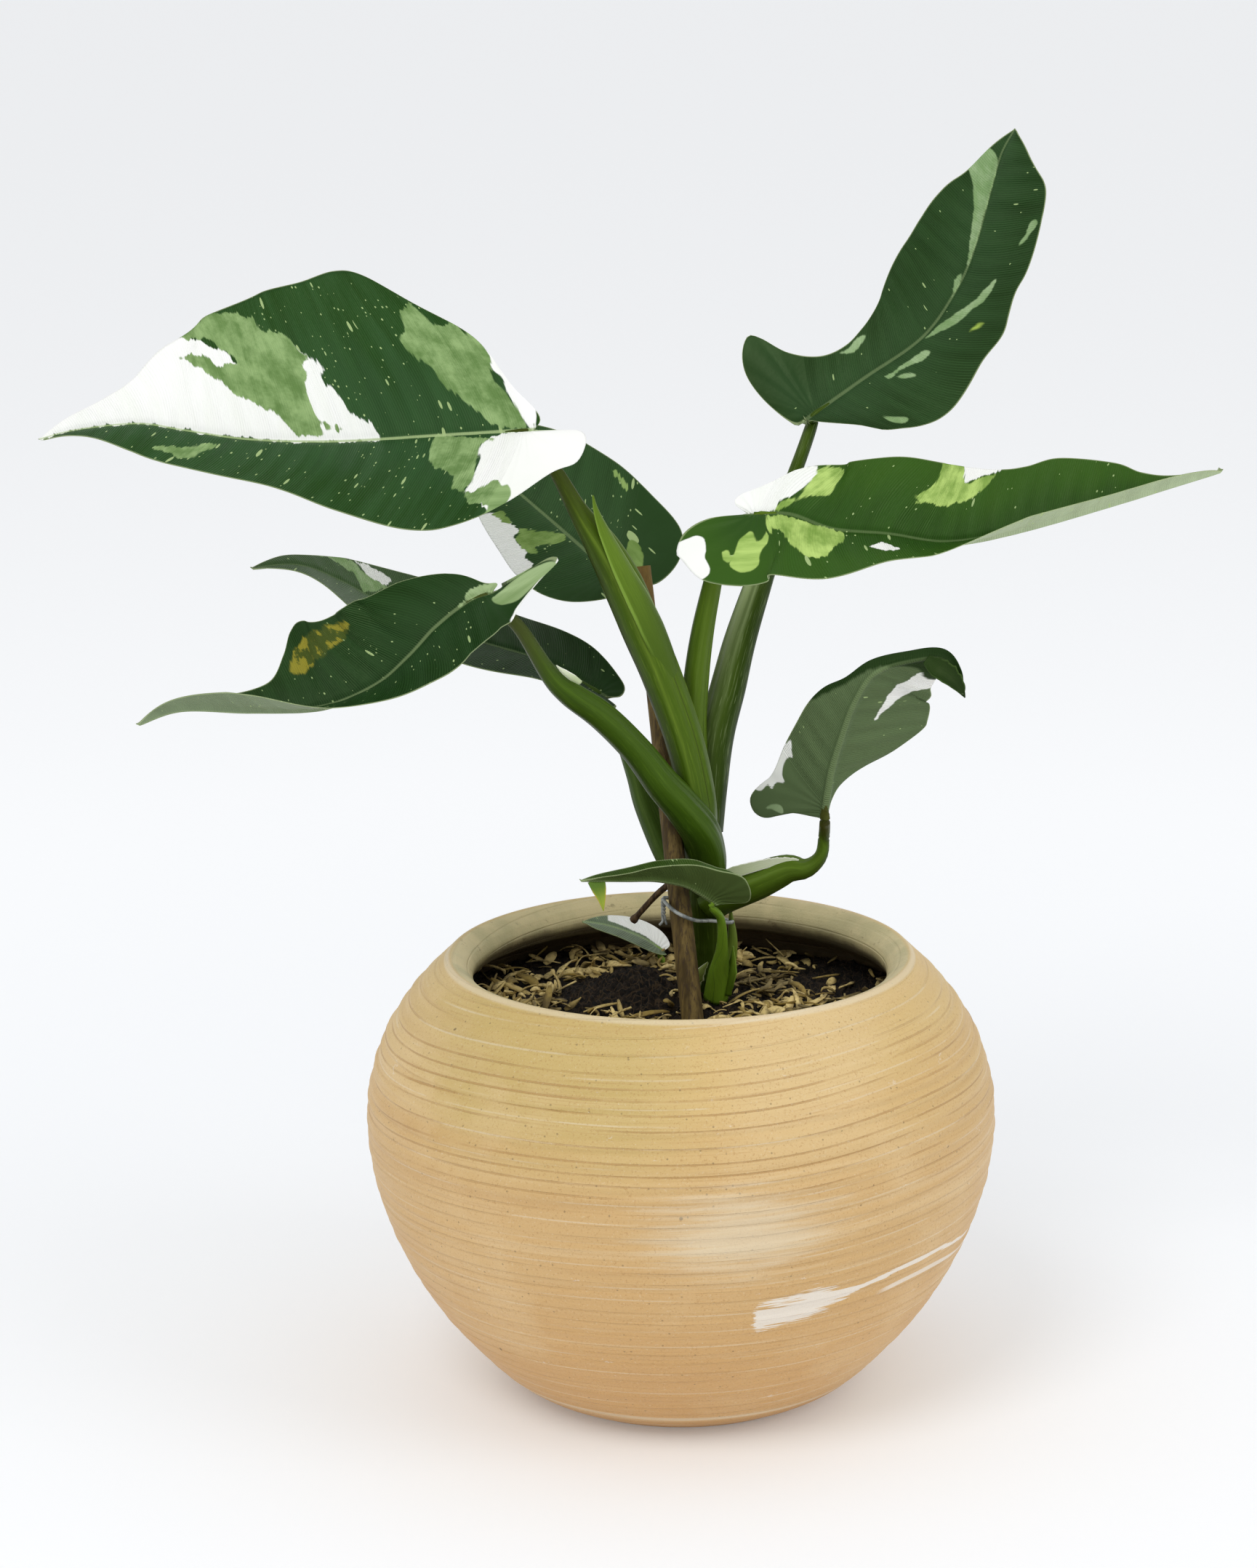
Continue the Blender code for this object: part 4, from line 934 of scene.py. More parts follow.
def stalk_section(sheath):
    """A little grooved above, and with a broad groove between raised margins down the sheath."""

    def section(turn, share):
        around = wrapped(turn)
        factor = 1 + 0.012 * np.sin(9 * turn + 5 * share) - 0.06 * hump(around, 0, 0.35)
        if sheath is None:
            return factor
        begin, full, _, deep, _ = sheath
        opened = np.clip((share - begin) / (full - begin), 0, 1)
        opened = opened * opened * (3 - 2 * opened)
        return factor + opened * (0.05 * hump(np.abs(around), 1.0, 0.20) - deep * hump(around, 0, 0.62))

    return section


def sheath_edge(letter, run):
    """How pale the sheath is at each point: along its two margins, and a little between them."""
    if letter not in SHEATHS:
        return np.zeros(len(run))
    begin, full, _, _, pale = SHEATHS[letter]
    share, around = run[:, 2], wrapped(run[:, 1])
    inner = 0.4 * hump(around, 0, 0.8)
    fade = np.interp(share, (0, 0.75, 1), (1, 0.5, 0.1))
    if letter == "e":
        # This one stands wide open and shows its whole pale inner skin, down to its lower third.
        inner = hump(around, -0.15, 0.55, 4)
        fade = np.interp(share, (0, 0.46, 0.66, 1), (1, 1, 0.25, 0.1))
    lip = hump(around, 0.9, 0.10) + 0.7 * hump(around, -0.9, 0.12)
    opened = np.clip((share - begin) / (full - begin), 0, 1)
    return opened * np.clip(lip + inner, 0, 1) * fade * pale


for letter in "abcdefghi":
    sheath = SHEATHS.get(letter)
    face = sheath[2] if sheath else (0, -0.6, 0.8)
    points, faces, run = swept(*stalk_line(letter), 56, 1.6, stalk_section(sheath), face)
    attributes = {"run": run, "edge": sheath_edge(letter, run)}
    piece = add_piece(f"leaf_{letter}_stalk_skin", points, faces, attributes)
    green = stalk_material(f"leaf_{letter}_stalk_green", *STALK_GREENS[letter])
    finish_piece(piece, green, "green_stem", f"leaf_{letter}_stalk")

# Free tongues, torn margins and old sheath scraps stand off the stalks: thin leathery slips, pale
# green, with white dry edges.
SLIP_LANES = 13


def slip_lines():
    """Shared slip marking: fine lines along it and its dry margin, from the run attribute."""
    skin, given, sent = new_group("slip_lines", {"Vector": ("Run",)}, ("Lines", "Margin", "Share"))
    along, across, share = skin.parts(given["Run"])
    lines = skin.grain(skin.joined(skin.times(along, 0.04), skin.times(across, 4.0), 0.3), 2.6, 4, 0.6)
    edge = skin.plus(skin.maths("ABSOLUTE", across), skin.times(lines, 0.25))
    skin.put(lines, sent["Lines"])
    skin.put(skin.times(skin.eased(edge, 0.92, 1.05), skin.eased(share, 0.15, 0.5)), sent["Margin"])
    skin.put(share, sent["Share"])
    return skin.tree


slip_marking = slip_lines()


def slip_material(name, low, body, margin, roughness=0.45):
    """Thin sheath skin: one green low down and another above, with a dry margin."""
    skin = Finish(name, low, roughness=roughness, specular=0.28)
    skin.shader["Specular Tint"].default_value = SKIN_GLEAM
    lines, edge, share = skin.marked(slip_marking, "Run").outputs
    skin.coat(body, skin.eased(share, 0.15, 0.85))
    skin.coat(low, skin.eased(lines, 0.4, 0.65), 0.35)
    skin.coat(margin, edge)
    return skin.done(skin.bump(lines, 0.0003, 0.5))


def walls(edge, count):
    """Faces that join the edge of an upper sheet to that of the lower one, count points further on."""
    return [(a, b, b + count, a + count) for a, b in zip(edge, edge[1:] + edge[:1])]


def slip(name, points, widths, across, material, thickness=0.5, cup=0.35, ragged=0.0, slot="green_stem"):
    """A thin tapering slip along a smooth line, cupped across its width."""
    path = smooth_path(points, 10)
    along = lengths_along(path)
    wide = np.interp(along / along[-1], np.linspace(0, 1, len(widths)), widths)[:, None]
    side, up = sides_of(path, across)
    side, up = side[:, None], up[:, None]
    spread = np.linspace(-1, 1, SLIP_LANES)
    torn = np.sin(along * 2.3)[:, None] * 0.6 + np.sin(along * 5.1 + 1)[:, None] * 0.4
    tear = 1 + ragged * torn * (spread > 0)
    middle = path[:, None] + side * (spread * wide / 2 * tear)[..., None]
    middle = middle + up * (cup * wide * (spread**2 - 0.4))[..., None]
    thick = up * (thickness / 2 * (1 - 0.75 * spread**2))[:, None]
    made = np.vstack([(middle + thick).reshape(-1, 3), (middle - thick).reshape(-1, 3)])
    count = len(path) * SLIP_LANES
    last_row = count - SLIP_LANES
    edge = [*range(SLIP_LANES), *range(2 * SLIP_LANES - 1, count, SLIP_LANES)]
    edge += [*range(count - 2, last_row - 1, -1), *range(last_row - SLIP_LANES, 0, -SLIP_LANES)]
    faces = quads(len(path), SLIP_LANES, turned=True) + quads(len(path), SLIP_LANES, start=count)
    run = np.stack([
        np.repeat(along, SLIP_LANES), np.tile(spread, len(path)), np.repeat(along / along[-1], SLIP_LANES),
    ], -1)
    piece = add_piece(name, made, faces + walls(edge, count), {"run": np.vstack([run, run])})
    finish_piece(piece, material, slot)


tongue_green = slip_material(
    "young_sheath_green", (0.056, 0.106, 0.006), (0.115, 0.200, 0.014), (0.20, 0.32, 0.045)
)
torn_white = slip_material(
    "torn_sheath_skin", (0.50, 0.58, 0.34), (0.72, 0.77, 0.58), (0.90, 0.91, 0.82), roughness=0.5
)
slip(
    "leaf_a_sheath_tongue",
    ((1, 0, 225), (-4.5, -3.2, 241), (-10, -5.5, 254), (-16, -7, 266), (-21.5, -7.5, 277.5),
     (-24.3, -7.3, 284.5), (-25.5, -7, 289.5)),
    (6.0, 8.5, 10.0, 9.5, 7.5, 4.6, 0.5), (0.64, 0.70, 0.29), tongue_green, thickness=0.6, cup=0.17,
)
slip(
    "leaf_c_sheath_tongue",
    ((-29.5, -29, 235.5), (-33, -31.5, 238.5), (-35.5, -33, 240.8), (-36.6, -33.6, 242)),
    (1.6, 2.4, 1.8, 0.3), (0.6, -0.2, 0.7), torn_white, cup=0.1,
)
slip(
    "leaf_g_sheath_margin",
    ((12, 6.5, 164.5), (20, 6.5, 167), (28, 7.5, 168.8), (34, 8.5, 169.3), (38, 9.5, 168.8)),
    (3.4, 4.2, 3.8, 3.0, 1.8), (0.0, -0.25, 1.0), torn_white, thickness=0.35, cup=0.05, ragged=0.14,
)

# An old sheath hugs the stem above the soil, and scraps of two others stand by it: dry leathery skin
# with pale edges, left where it grew from the stem.
BASE_SHEATH = ((15, 16, 124), (16, 17, 132), (17, 18, 141), (16.5, 19, 150))
BASE_SHEATH_RADII = (1.5, 2.2, 1.7, 0.5)
BASE_SHEATH_GREENS = ((0.12, 0.18, 0.02), (0.26, 0.36, 0.05), (0.5, 0.6, 0.2))
base_sheath = swept_piece("old_base_sheath", BASE_SHEATH, BASE_SHEATH_RADII, 24, 1.0)
sheath_green = stalk_material("old_sheath_green", *BASE_SHEATH_GREENS)
finish_piece(base_sheath, sheath_green, "green_stem", "base_sheath")
scrap_green = slip_material("dry_sheath_scrap", (0.10, 0.15, 0.02), (0.26, 0.33, 0.08), (0.75, 0.76, 0.60))
slip("left_sheath_scrap", ((4, 9, 126), (6, 7, 132), (9, 5, 137)), (3.0, 4.0, 0.5), (0.8, -0.5, 0.1),
     scrap_green, thickness=0.4, cup=0.25, ragged=0.2)
slip("right_sheath_scrap", ((15, 5, 126), (16.5, 3, 135), (17, 2.5, 143)), (2.6, 3.6, 0.4), (0.9, -0.4, 0.0),
     tongue_green, cup=0.25, ragged=0.1)

# A thin plastic-coated wire tie goes once round the stem and the stake. Its two ends are twisted
# together at the left and hang down.
WIRE_PATH = ((-5, 1, 159), (-1, -7, 157), (5, -6, 154), (10, 4, 151), (15, 9, 149), (17, 17, 147),
             (13, 25, 146), (5, 26, 149), (-2, 16, 155))
WIRE_RADIUS = 0.6
WIRE_DULL = (0.17, 0.19, 0.19)
WIRE_WORN = (0.40, 0.42, 0.40)
KNOT_TOP = (-5.0, 0.2, 159.4)
KNOT_RADIUS = 0.5
KNOT_TURNS = 2.6
KNOT_FALL = 0.36
END_RADIUS = 0.4
wire = Finish("grey_coated_wire", WIRE_DULL, roughness=0.38, specular=0.5)
wire.coat(WIRE_WORN, wire.eased(wire.grain(wire.object_place(), 300, 3), 0.4, 0.6))
wire_finish = wire.done()
tie = swept_piece("wire_tie", WIRE_PATH, (WIRE_RADIUS,), 14, 0.8, closed=True)
finish_piece(tie, wire_finish, "wire", "tie_wire")
turned = np.linspace(0, KNOT_TURNS * 2 * math.pi, 60)
for name, phase, tail_side in (("first", 0.0, -0.9), ("second", math.pi, 0.6)):
    east, north, high = KNOT_TOP
    path = np.stack([
        east + KNOT_RADIUS * np.cos(turned + phase), north + KNOT_RADIUS * np.sin(turned + phase),
        high - turned * KNOT_FALL,
    ], -1)
    path = np.vstack([path[::6], path[-1] + np.array([(0.2, -0.3, -1.2), (tail_side, -0.5, -2.6)])])
    knot = swept_piece(f"wire_tie_{name}_end", path, [END_RADIUS] * len(path), 12, 0.5)
    finish_piece(knot, wire_finish, "wire")

# The dry brown stub of a fallen leaf's stalk leans out of the stem to the left. It is fibrous, and
# thickens to a round end.
OLD_STALK = ((1, 19, 162), (-7, 22, 155), (-15, 26, 145))
OLD_STALK_RADII = (1.2, 1.0, 0.9)
STUB_DARK = (0.040, 0.022, 0.010)
STUB_LIGHT = (0.115, 0.068, 0.030)


def stub_section(turn, share):
    return 1 + 0.55 * hump(share, 0.97, 0.05) + 0.06 * np.sin(5 * turn + 9 * share)


stub = swept_piece("dry_stalk_stub", OLD_STALK, OLD_STALK_RADII, 20, 0.8, stub_section)
dry = Finish("dry_brown_stalk", STUB_DARK, roughness=0.7, specular=0.25)
fibres = dry.grain(dry.stretched(dry.object_place(), (1, 1, 0.2)), 900, 3)
dry.coat(STUB_LIGHT, dry.eased(fibres, 0.4, 0.65))
finish_piece(stub, dry.done(dry.bump(fibres, 0.0004, 0.8)), "dry_stalk", "old_stalk")

# The blades are thin, glossy and leathery: dark green with white and pale green patches that run
# out along the veins, pale flecks, a raised midrib underneath and a fine pale margin. The patches
# are drawn flat: how far along the midrib, and how far to its left, or to its right below 0.
BLADE_GRID = (170, 40)
SMALL_BLADE = 60
SMALL_BLADE_GRID = (90, 22)
BLADE_THICKNESS = 0.6
LOBE_RUN = 4.0
VEIN_STEP = 7.5
LEAF_PATCHES = {
    "a": {
        "white": (
            ((156, -2), (141, -9), (130, -14), (122, -22), (118, -30), (113, -29), (106, -28), (98, -26),
             (94, -23), (85, -28), (79, -31), (73, -29), (65, -23), (64, -19), (59, -13), (55, -8), (51, -5),
             (49, -2), (49, 0), (65, 0), (106, 0), (156, 0)),
            ((13, -26), (8, -23), (6, -17), (2, -10), (-1, -6), (0, 0), (3, -2), (6, -8), (8, -12), (9, -16),
             (12, -20)),
            ((0, 0), (10, 1), (15, 3), (18, 8), (19, 14), (22, 22), (24, 27), (21, 31), (18, 34), (18, 42),
             (14, 42), (9, 36), (3, 27), (-3, 23), (-10, 20), (-18, 10), (-18, 0), (-6, -1)),
        ),
        "pale": (
            ((115, -27), (113, -32), (107, -36), (103, -38), (91, -38), (86, -34), (79, -33), (73, -29),
             (69, -26), (71, -23), (69, -21), (70, -17), (68, -10), (65, -7), (59, -4), (63, -3), (65, -5),
             (64, -2), (70, -2), (74, -4), (81, -9), (89, -12), (95, -14), (102, -18), (109, -21), (113, -22),
             (107, -24), (100, -22), (94, -23), (98, -26), (101, -27), (106, -29), (114, -28)),
            ((36, -42), (38, -39), (37, -34), (38, -30), (35, -25), (29, -20), (27, -16), (20, -9), (14, -3),
             (8, -1), (2, -1), (5, -7), (9, -14), (11, -16), (12, -21), (13, -24), (17, -29), (23, -34),
             (28, -34), (31, -38)),
            ((30, 0), (32, 5), (32, 13), (30, 15), (28, 17), (27, 20), (28, 24), (25, 26), (23, 27), (24, 25),
             (21, 22), (19, 14), (18, 8), (16, 5), (12, 3)),
            ((24, 26), (24, 30), (22, 32), (19, 32), (17, 33), (19, 37), (20, 38), (16, 37), (12, 32),
             (10, 27), (11, 24), (13, 25), (14, 22), (17, 24), (20, 26)),
            ((113, 10), (108, 8), (103, 8), (100, 5), (96, 4), (96, 6), (100, 9), (102, 12), (107, 12),
             (110, 11)),
        ),
    },
    "b": {
        "white": (
            ((46, 17), (44, 12), (37, 10), (34, 10), (33, 13), (30, 14), (27, 14), (26, 16), (21, 17),
             (20, 26), (32, 25), (41, 22)),
        ),
        "pale": (
            ((43, 12), (42, 9), (38, 10), (33, 9), (28, 5), (23, 1), (21, 2), (22, 5), (25, 9), (26, 11),
             (24, 12), (26, 14), (31, 14), (33, 13), (34, 10)),
            ((5, -10), (6, -13), (3, -14), (0, -12), (-3, -7), (0, -6)),
            ((26, -28), (24, -28), (18, -26), (20, -26)),
        ),
    },
    "c": {
        "white": (
            ((-23, 2), (-23, 8), (-13, 9), (-5, 12), (0, 14), (0, 12.3), (-5, 9.6), (-13, 6.6),
             (-20.3, 4.4), (-21, 2)),
        ),
        "pale": (
            ((-21, 7), (-19, 3), (-11, 1), (-4, 1), (1, 2), (1, 5), (-4, 8), (-8, 8), (-13, 7)),
            ((-6, 0), (0, -3), (6, -3), (10, -1), (10, 0)),
        ),
        "third": (
            ((74, -12), (73, -18), (70, -22), (62, -25), (56, -24), (50, -23), (40, -20), (46, -18),
             (51, -17), (57, -15), (64, -14), (69, -11)),
        ),
    },
    "d": {
        "white": (((91, -13), (85, -14), (78, -13), (80, -9), (85, -9)),),
        "pale": (((102, -8), (93, -12), (85, -10), (79, -9), (81, -4), (86, -1), (90, -6), (96, -8)),),
        "third": (
            ((62, -18), (76, -21), (95, -14), (120, -6), (120, 6), (108, 10), (97, 22), (86, 29),
             (76, 28), (70, 8), (60, -4)),
        ),
    },
    "e": {
        "pale": (
            ((102, 9.5), (105, 8), (108, 6), (108, 2), (104, 0), (93, 0), (79, 0), (70, 0), (76, 1.4),
             (84, 2.8), (94, 4.8)),
            ((66, 2), (68, 1), (65, 0), (60, 0)),
            ((21, 11), (24, 11), (28, 12), (30, 11), (26, 9), (23, 9)),
            ((28, -4), (33, -4), (40, -4), (43, -5), (43, -7), (37, -6), (33, -5), (29, -6)),
            ((45, -1), (51, -2), (57, -5), (65, -9), (72, -12), (66, -12), (59, -9), (53, -6), (48, -3)),
            ((31, -6), (34, -7), (36, -10), (32, -8)),
            ((19, -14), (21, -17), (26, -21), (24, -22), (20, -19)),
            ((84, -16), (88, -17), (93, -18), (94, -20), (89, -19)),
        ),
        "third": (((55, -13), (58, -14), (59, -16), (57, -15)),),
    },
    "f": {
        "white": (
            ((-5, 0), (-6, 8), (0, 12), (7, 13), (13, 15), (16, 16), (16, 11), (13, 6), (10, 4), (7, 0)),
            ((71, 25), (77, 24), (87, 22), (82, 19), (77, 19), (72, 18), (70, 18), (71, 22)),
            ((-24, -13), (-20, -10), (-18, -9), (-15, -8), (-12, -10), (-12, -16), (-10, -21), (-12, -24),
             (-15, -24), (-20, -18)),
            ((40, -7), (44, -6), (49, -8), (45, -9)),
        ),
        "pale": (
            ((16, 15), (18, 17), (21, 19), (25, 18), (23, 14), (22, 10), (17, 7), (13, 3), (7, 0), (11, 4),
             (14, 6), (15, 10)),
            ((59, 25), (58, 20), (56, 17), (51, 14), (50, 12), (52, 12), (49, 10), (55, 12), (59, 11),
             (63, 11), (66, 12), (70, 12), (77, 15), (80, 17), (82, 19), (77, 19), (71, 18), (70, 25)),
            ((6, -1), (11, -1), (19, -1), (27, 0), (31, -2), (31, -6), (30, -8), (28, -12), (26, -13),
             (23, -13), (20, -11), (17, -10), (14, -8), (10, -6), (8, -6)),
            ((5, -2), (8, -6), (7, -11), (5, -13), (4, -16), (4, -19), (2, -21), (-1, -21), (-4, -19),
             (-3, -15), (-2, -10), (0, -8), (2, -7), (3, -11), (5, -10), (6, -7)),
            ((-7, -14), (-5, -13), (-4, -17), (-6, -17)),
        ),
    },
    "g": {
        "third": (
            ((28, -17), (38, -10), (48, -4), (56, -1), (62, 1), (67, 5), (69, 13), (95, 12), (95, -10),
             (60, -12), (40, -18)),
        ),
        "white": (
            ((38, 9.5), (48, 10.2), (58, 10), (64, 8.5), (67, 7), (70, 9), (67, 16), (61, 16),
             (53, 15.5), (47, 13), (42, 11.2)),
            ((17, -16), (13, -19), (8, -21), (4, -23), (-1, -25), (-6, -25), (-6, -22), (-2, -21), (-3, -19),
             (0, -19), (2, -16), (4, -17), (8, -17), (11, -16), (12, -14), (15, -15)),
        ),
        "pale": (((-11, -18), (-8, -17), (-6, -14), (-8, -12), (-9, -16)),),
    },
    "h": {},
    "i": {
        "white": (((21, -2), (20, -9), (10, -11), (0, -11), (-4, -5), (-3, -0.5), (5, -0.8), (12, -1.2)),),
    },
}
# For each blade: its greens by the midrib and by the margin, partly its own tone and partly painted
# sheen and shade, the green underneath, the darker and lighter tones of its pale patches, how many
# flecks, and how pale the midrib is.
LEAF_GREENS = {
    "a": ((0.020, 0.060, 0.018), (0.008, 0.042, 0.002), (0.12, 0.20, 0.09), (0.125, 0.225, 0.065),
          (0.30, 0.44, 0.18), 1.6, 0.80),
    "b": ((0.022, 0.058, 0.018), (0.014, 0.045, 0.010), (0.13, 0.20, 0.10), (0.14, 0.24, 0.05),
          (0.27, 0.40, 0.12), 1.4, 0.3),
    "c": ((0.014, 0.041, 0.011), (0.006, 0.029, 0.003), (0.20, 0.26, 0.15), (0.18, 0.28, 0.10),
          (0.36, 0.48, 0.24), 0.9, 0.30),
    "d": ((0.014, 0.038, 0.011), (0.010, 0.030, 0.007), (0.10, 0.16, 0.08), (0.20, 0.33, 0.12),
          (0.32, 0.45, 0.22), 0.9, 0.2),
    "e": ((0.019, 0.050, 0.015), (0.009, 0.032, 0.005), (0.13, 0.19, 0.10), (0.20, 0.33, 0.13),
          (0.34, 0.47, 0.25), 0.3, 0.22),
    "f": ((0.018, 0.058, 0.006), (0.030, 0.086, 0.006), (0.44, 0.53, 0.33), (0.20, 0.34, 0.06),
          (0.50, 0.68, 0.19), 0.9, 0.16),
    "g": ((0.048, 0.082, 0.026), (0.085, 0.125, 0.048), (0.108, 0.160, 0.070), (0.25, 0.35, 0.18),
          (0.40, 0.50, 0.30), 0.4, 0.12),
    "h": ((0.040, 0.075, 0.012), (0.028, 0.060, 0.008), (0.076, 0.118, 0.032), (0.2, 0.3, 0.1),
          (0.3, 0.4, 0.2), 0.2, 0.3),
    "i": ((0.12, 0.16, 0.10), (0.09, 0.12, 0.07), (0.12, 0.17, 0.10), (0.2, 0.3, 0.1), (0.3, 0.4, 0.2),
          0.4, 0.4),
}
# How ragged the edges of the patches are, on the leaves where they are cleaner than on the rest.
LEAF_TEETH = {"e": 0.35, "f": 0.8, "g": 0.35, "h": 0.3, "i": 0.3}
LEAF_WHITE = (0.94, 0.94, 0.92)
LEAF_CREAM = (0.66, 0.76, 0.52)
LEAF_FLECK = (0.42, 0.55, 0.24)
LEAF_MARGIN = (0.42, 0.50, 0.26)
LEAF_MIDRIB = (0.40, 0.52, 0.24)
LEAF_BRONZE = (0.085, 0.105, 0.012)
LEAF_THIRD = {
    "c": (0.33, 0.28, 0.028),
    "d": (0.060, 0.115, 0.040),
    "e": (0.42, 0.58, 0.10),
    "g": (0.012, 0.034, 0.006),
}
LEAF_GLEAM = (0.65, 0.85, 0.45, 1)
PATTERN_SHIFT = 3.7
QUILT_HEIGHT = 0.32
GROOVE_DEPTH = 0.45
WAVE_HEIGHT = 0.7
RIDGE_HEIGHT = 1.3
TIP_LIFT = 0.15


def patch_distance(points, polygons):
    """How far inside the nearest patch each flat point lies, or below 0 how far outside, in mm."""
    best = np.full(points.shape[0], -40.0)
    for polygon in polygons:
        corners = smooth_path(np.array((*polygon, polygon[0]), float), 4)
        a, b = corners[:-1], corners[1:]
        run = b - a
        size = np.maximum((run**2).sum(-1), 1e-9)
        toward = points[:, None] - a[None]
        share = np.clip((toward * run).sum(-1) / size, 0, 1)
        near = np.linalg.norm(toward - share[..., None] * run, axis=-1).min(1)
        x, y = points[:, :1], points[:, 1:]
        climb = np.where(run[:, 1] == 0, 1e-9, run[:, 1])
        crosses = ((a[:, 1] > y) != (b[:, 1] > y)) & (x < run[:, 0] * (y - a[:, 1]) / climb + a[:, 0])
        best = np.maximum(best, np.where(crosses.sum(1) % 2 == 1, near, -near))
    return best


def blade_piece(letter):
    """The finished blade's mesh, with what its colours need at each point."""
    blade = blades[letter]
    small = blade.length < SMALL_BLADE
    rows, columns = SMALL_BLADE_GRID if small else BLADE_GRID
    lobe_rows = rows // 4
    start = np.arange(lobe_rows + 1) * (LOBE_RUN / lobe_rows)
    rest = np.linspace(start[-1], blade.length, rows - lobe_rows + 1)[1:]
    stations = np.concatenate([start, rest])
    left, right = (blade.margin(outline, stations, lobe_rows)[1:-1] for outline in blade.outlines)
    station = stations[1:-1, None]
    outward = np.linspace(1, 0, columns + 1)[:-1]

    def half_blade(edge, shares, way):
        """Flat points that follow the slanting veins from the midrib to one margin."""
        run = station + (edge[:, :1] - station) * shares**1.3
        return np.stack([run, way * np.maximum(edge[:, 1:] * shares, 0.02)], -1)

    flat = np.concatenate([
        half_blade(left, outward, 1),
        np.stack([station, np.zeros_like(station)], -1),
        half_blade(right, outward[::-1], -1),
    ], 1)
    grid = blade.place(flat[..., 0], flat[..., 1])
    ends = blade.place(np.array([0, blade.length]), np.array([0, 0]))
    high, wide = grid.shape[:2]
    count = high * wide + 2
    base, tip = count - 2, count - 1
    share = np.broadcast_to(np.concatenate([outward, [0], outward[::-1]]), (high, wide))
    on_left = np.arange(wide) < columns
    half_width = np.where(on_left, left[:, 1:], right[:, 1:])
    width_mm = half_width * share
    normals = unit(np.cross(np.gradient(grid, axis=1), np.gradient(grid, axis=0)))

    # The surface is quilted between its veins, grooved along its midrib and waved at its margin.
    strength = np.clip(width_mm / 6, 0, 1) * (1 - share) ** 0.6
    vein_phase = station / VEIN_STEP + np.where(on_left, 0.0, 0.45)
    quilt = QUILT_HEIGHT * strength * np.cos(2 * math.pi * vein_phase)
    groove = -GROOVE_DEPTH * hump(width_mm, 0, 1.1)
    wave = np.sin(station / 9.0 + 1.5 * np.sin(station / 23)) * share**3 * WAVE_HEIGHT
    wave = wave * np.clip(half_width / 12, 0, 1) * (0.4 if small else 1)
    surface = grid + normals * (wave + quilt + groove)[..., None]
    thick = BLADE_THICKNESS / 2 * (1 - 0.6 * share)
    ridge_high = RIDGE_HEIGHT * (1 - 0.85 * (station / blade.length)) * (0.5 if small else 1)
    ridge = ridge_high * hump(width_mm, 0, 1.0)
    above = surface + normals * thick[..., None]
    under = surface - normals * (thick + ridge)[..., None]
    end_lift = np.stack([normals[0, columns], normals[-1, columns]]) * TIP_LIFT
    above = np.vstack([above.reshape(-1, 3), ends + end_lift])
    under = np.vstack([under.reshape(-1, 3), ends - end_lift])

    faces = quads(high, wide) + fan(base, 0, wide, around=False, turned=True)
    faces += fan(tip, (high - 1) * wide, wide, around=False)
    faces += [tuple(v + count for v in face[::-1]) for face in faces]
    edge = [base, *range(0, high * wide, wide), tip, *range(high * wide - 1, 0, -wide)]
    faces += walls(edge, count)

    flat_points = np.vstack([flat.reshape(-1, 2), [(0, 0), (blade.length, 0)]])
    lead = np.concatenate([np.broadcast_to(station, share.shape).ravel(), [0, blade.length]])
    signed = flat_points[:, 1]
    vein = np.stack([lead, signed, np.concatenate([share.ravel(), [1, 1]])], -1)
    kinds = [LEAF_PATCHES[letter].get(kind, ()) for kind in ("white", "pale", "third")]
    marks = np.stack([patch_distance(flat_points, polygons) for polygons in kinds], -1)
    margin_mm = np.concatenate([((1 - share) * half_width).ravel(), [0, 0]])
    rims = np.stack([margin_mm, np.abs(signed), np.zeros(count)], -1)
    return add_piece(f"leaf_{letter}_skin", np.vstack([above, under]), faces, {
        "vein": np.vstack([vein, vein]),
        "marks": np.vstack([marks, marks]),
        "rims": np.vstack([rims, rims + (0, 0, 1)]),
    })


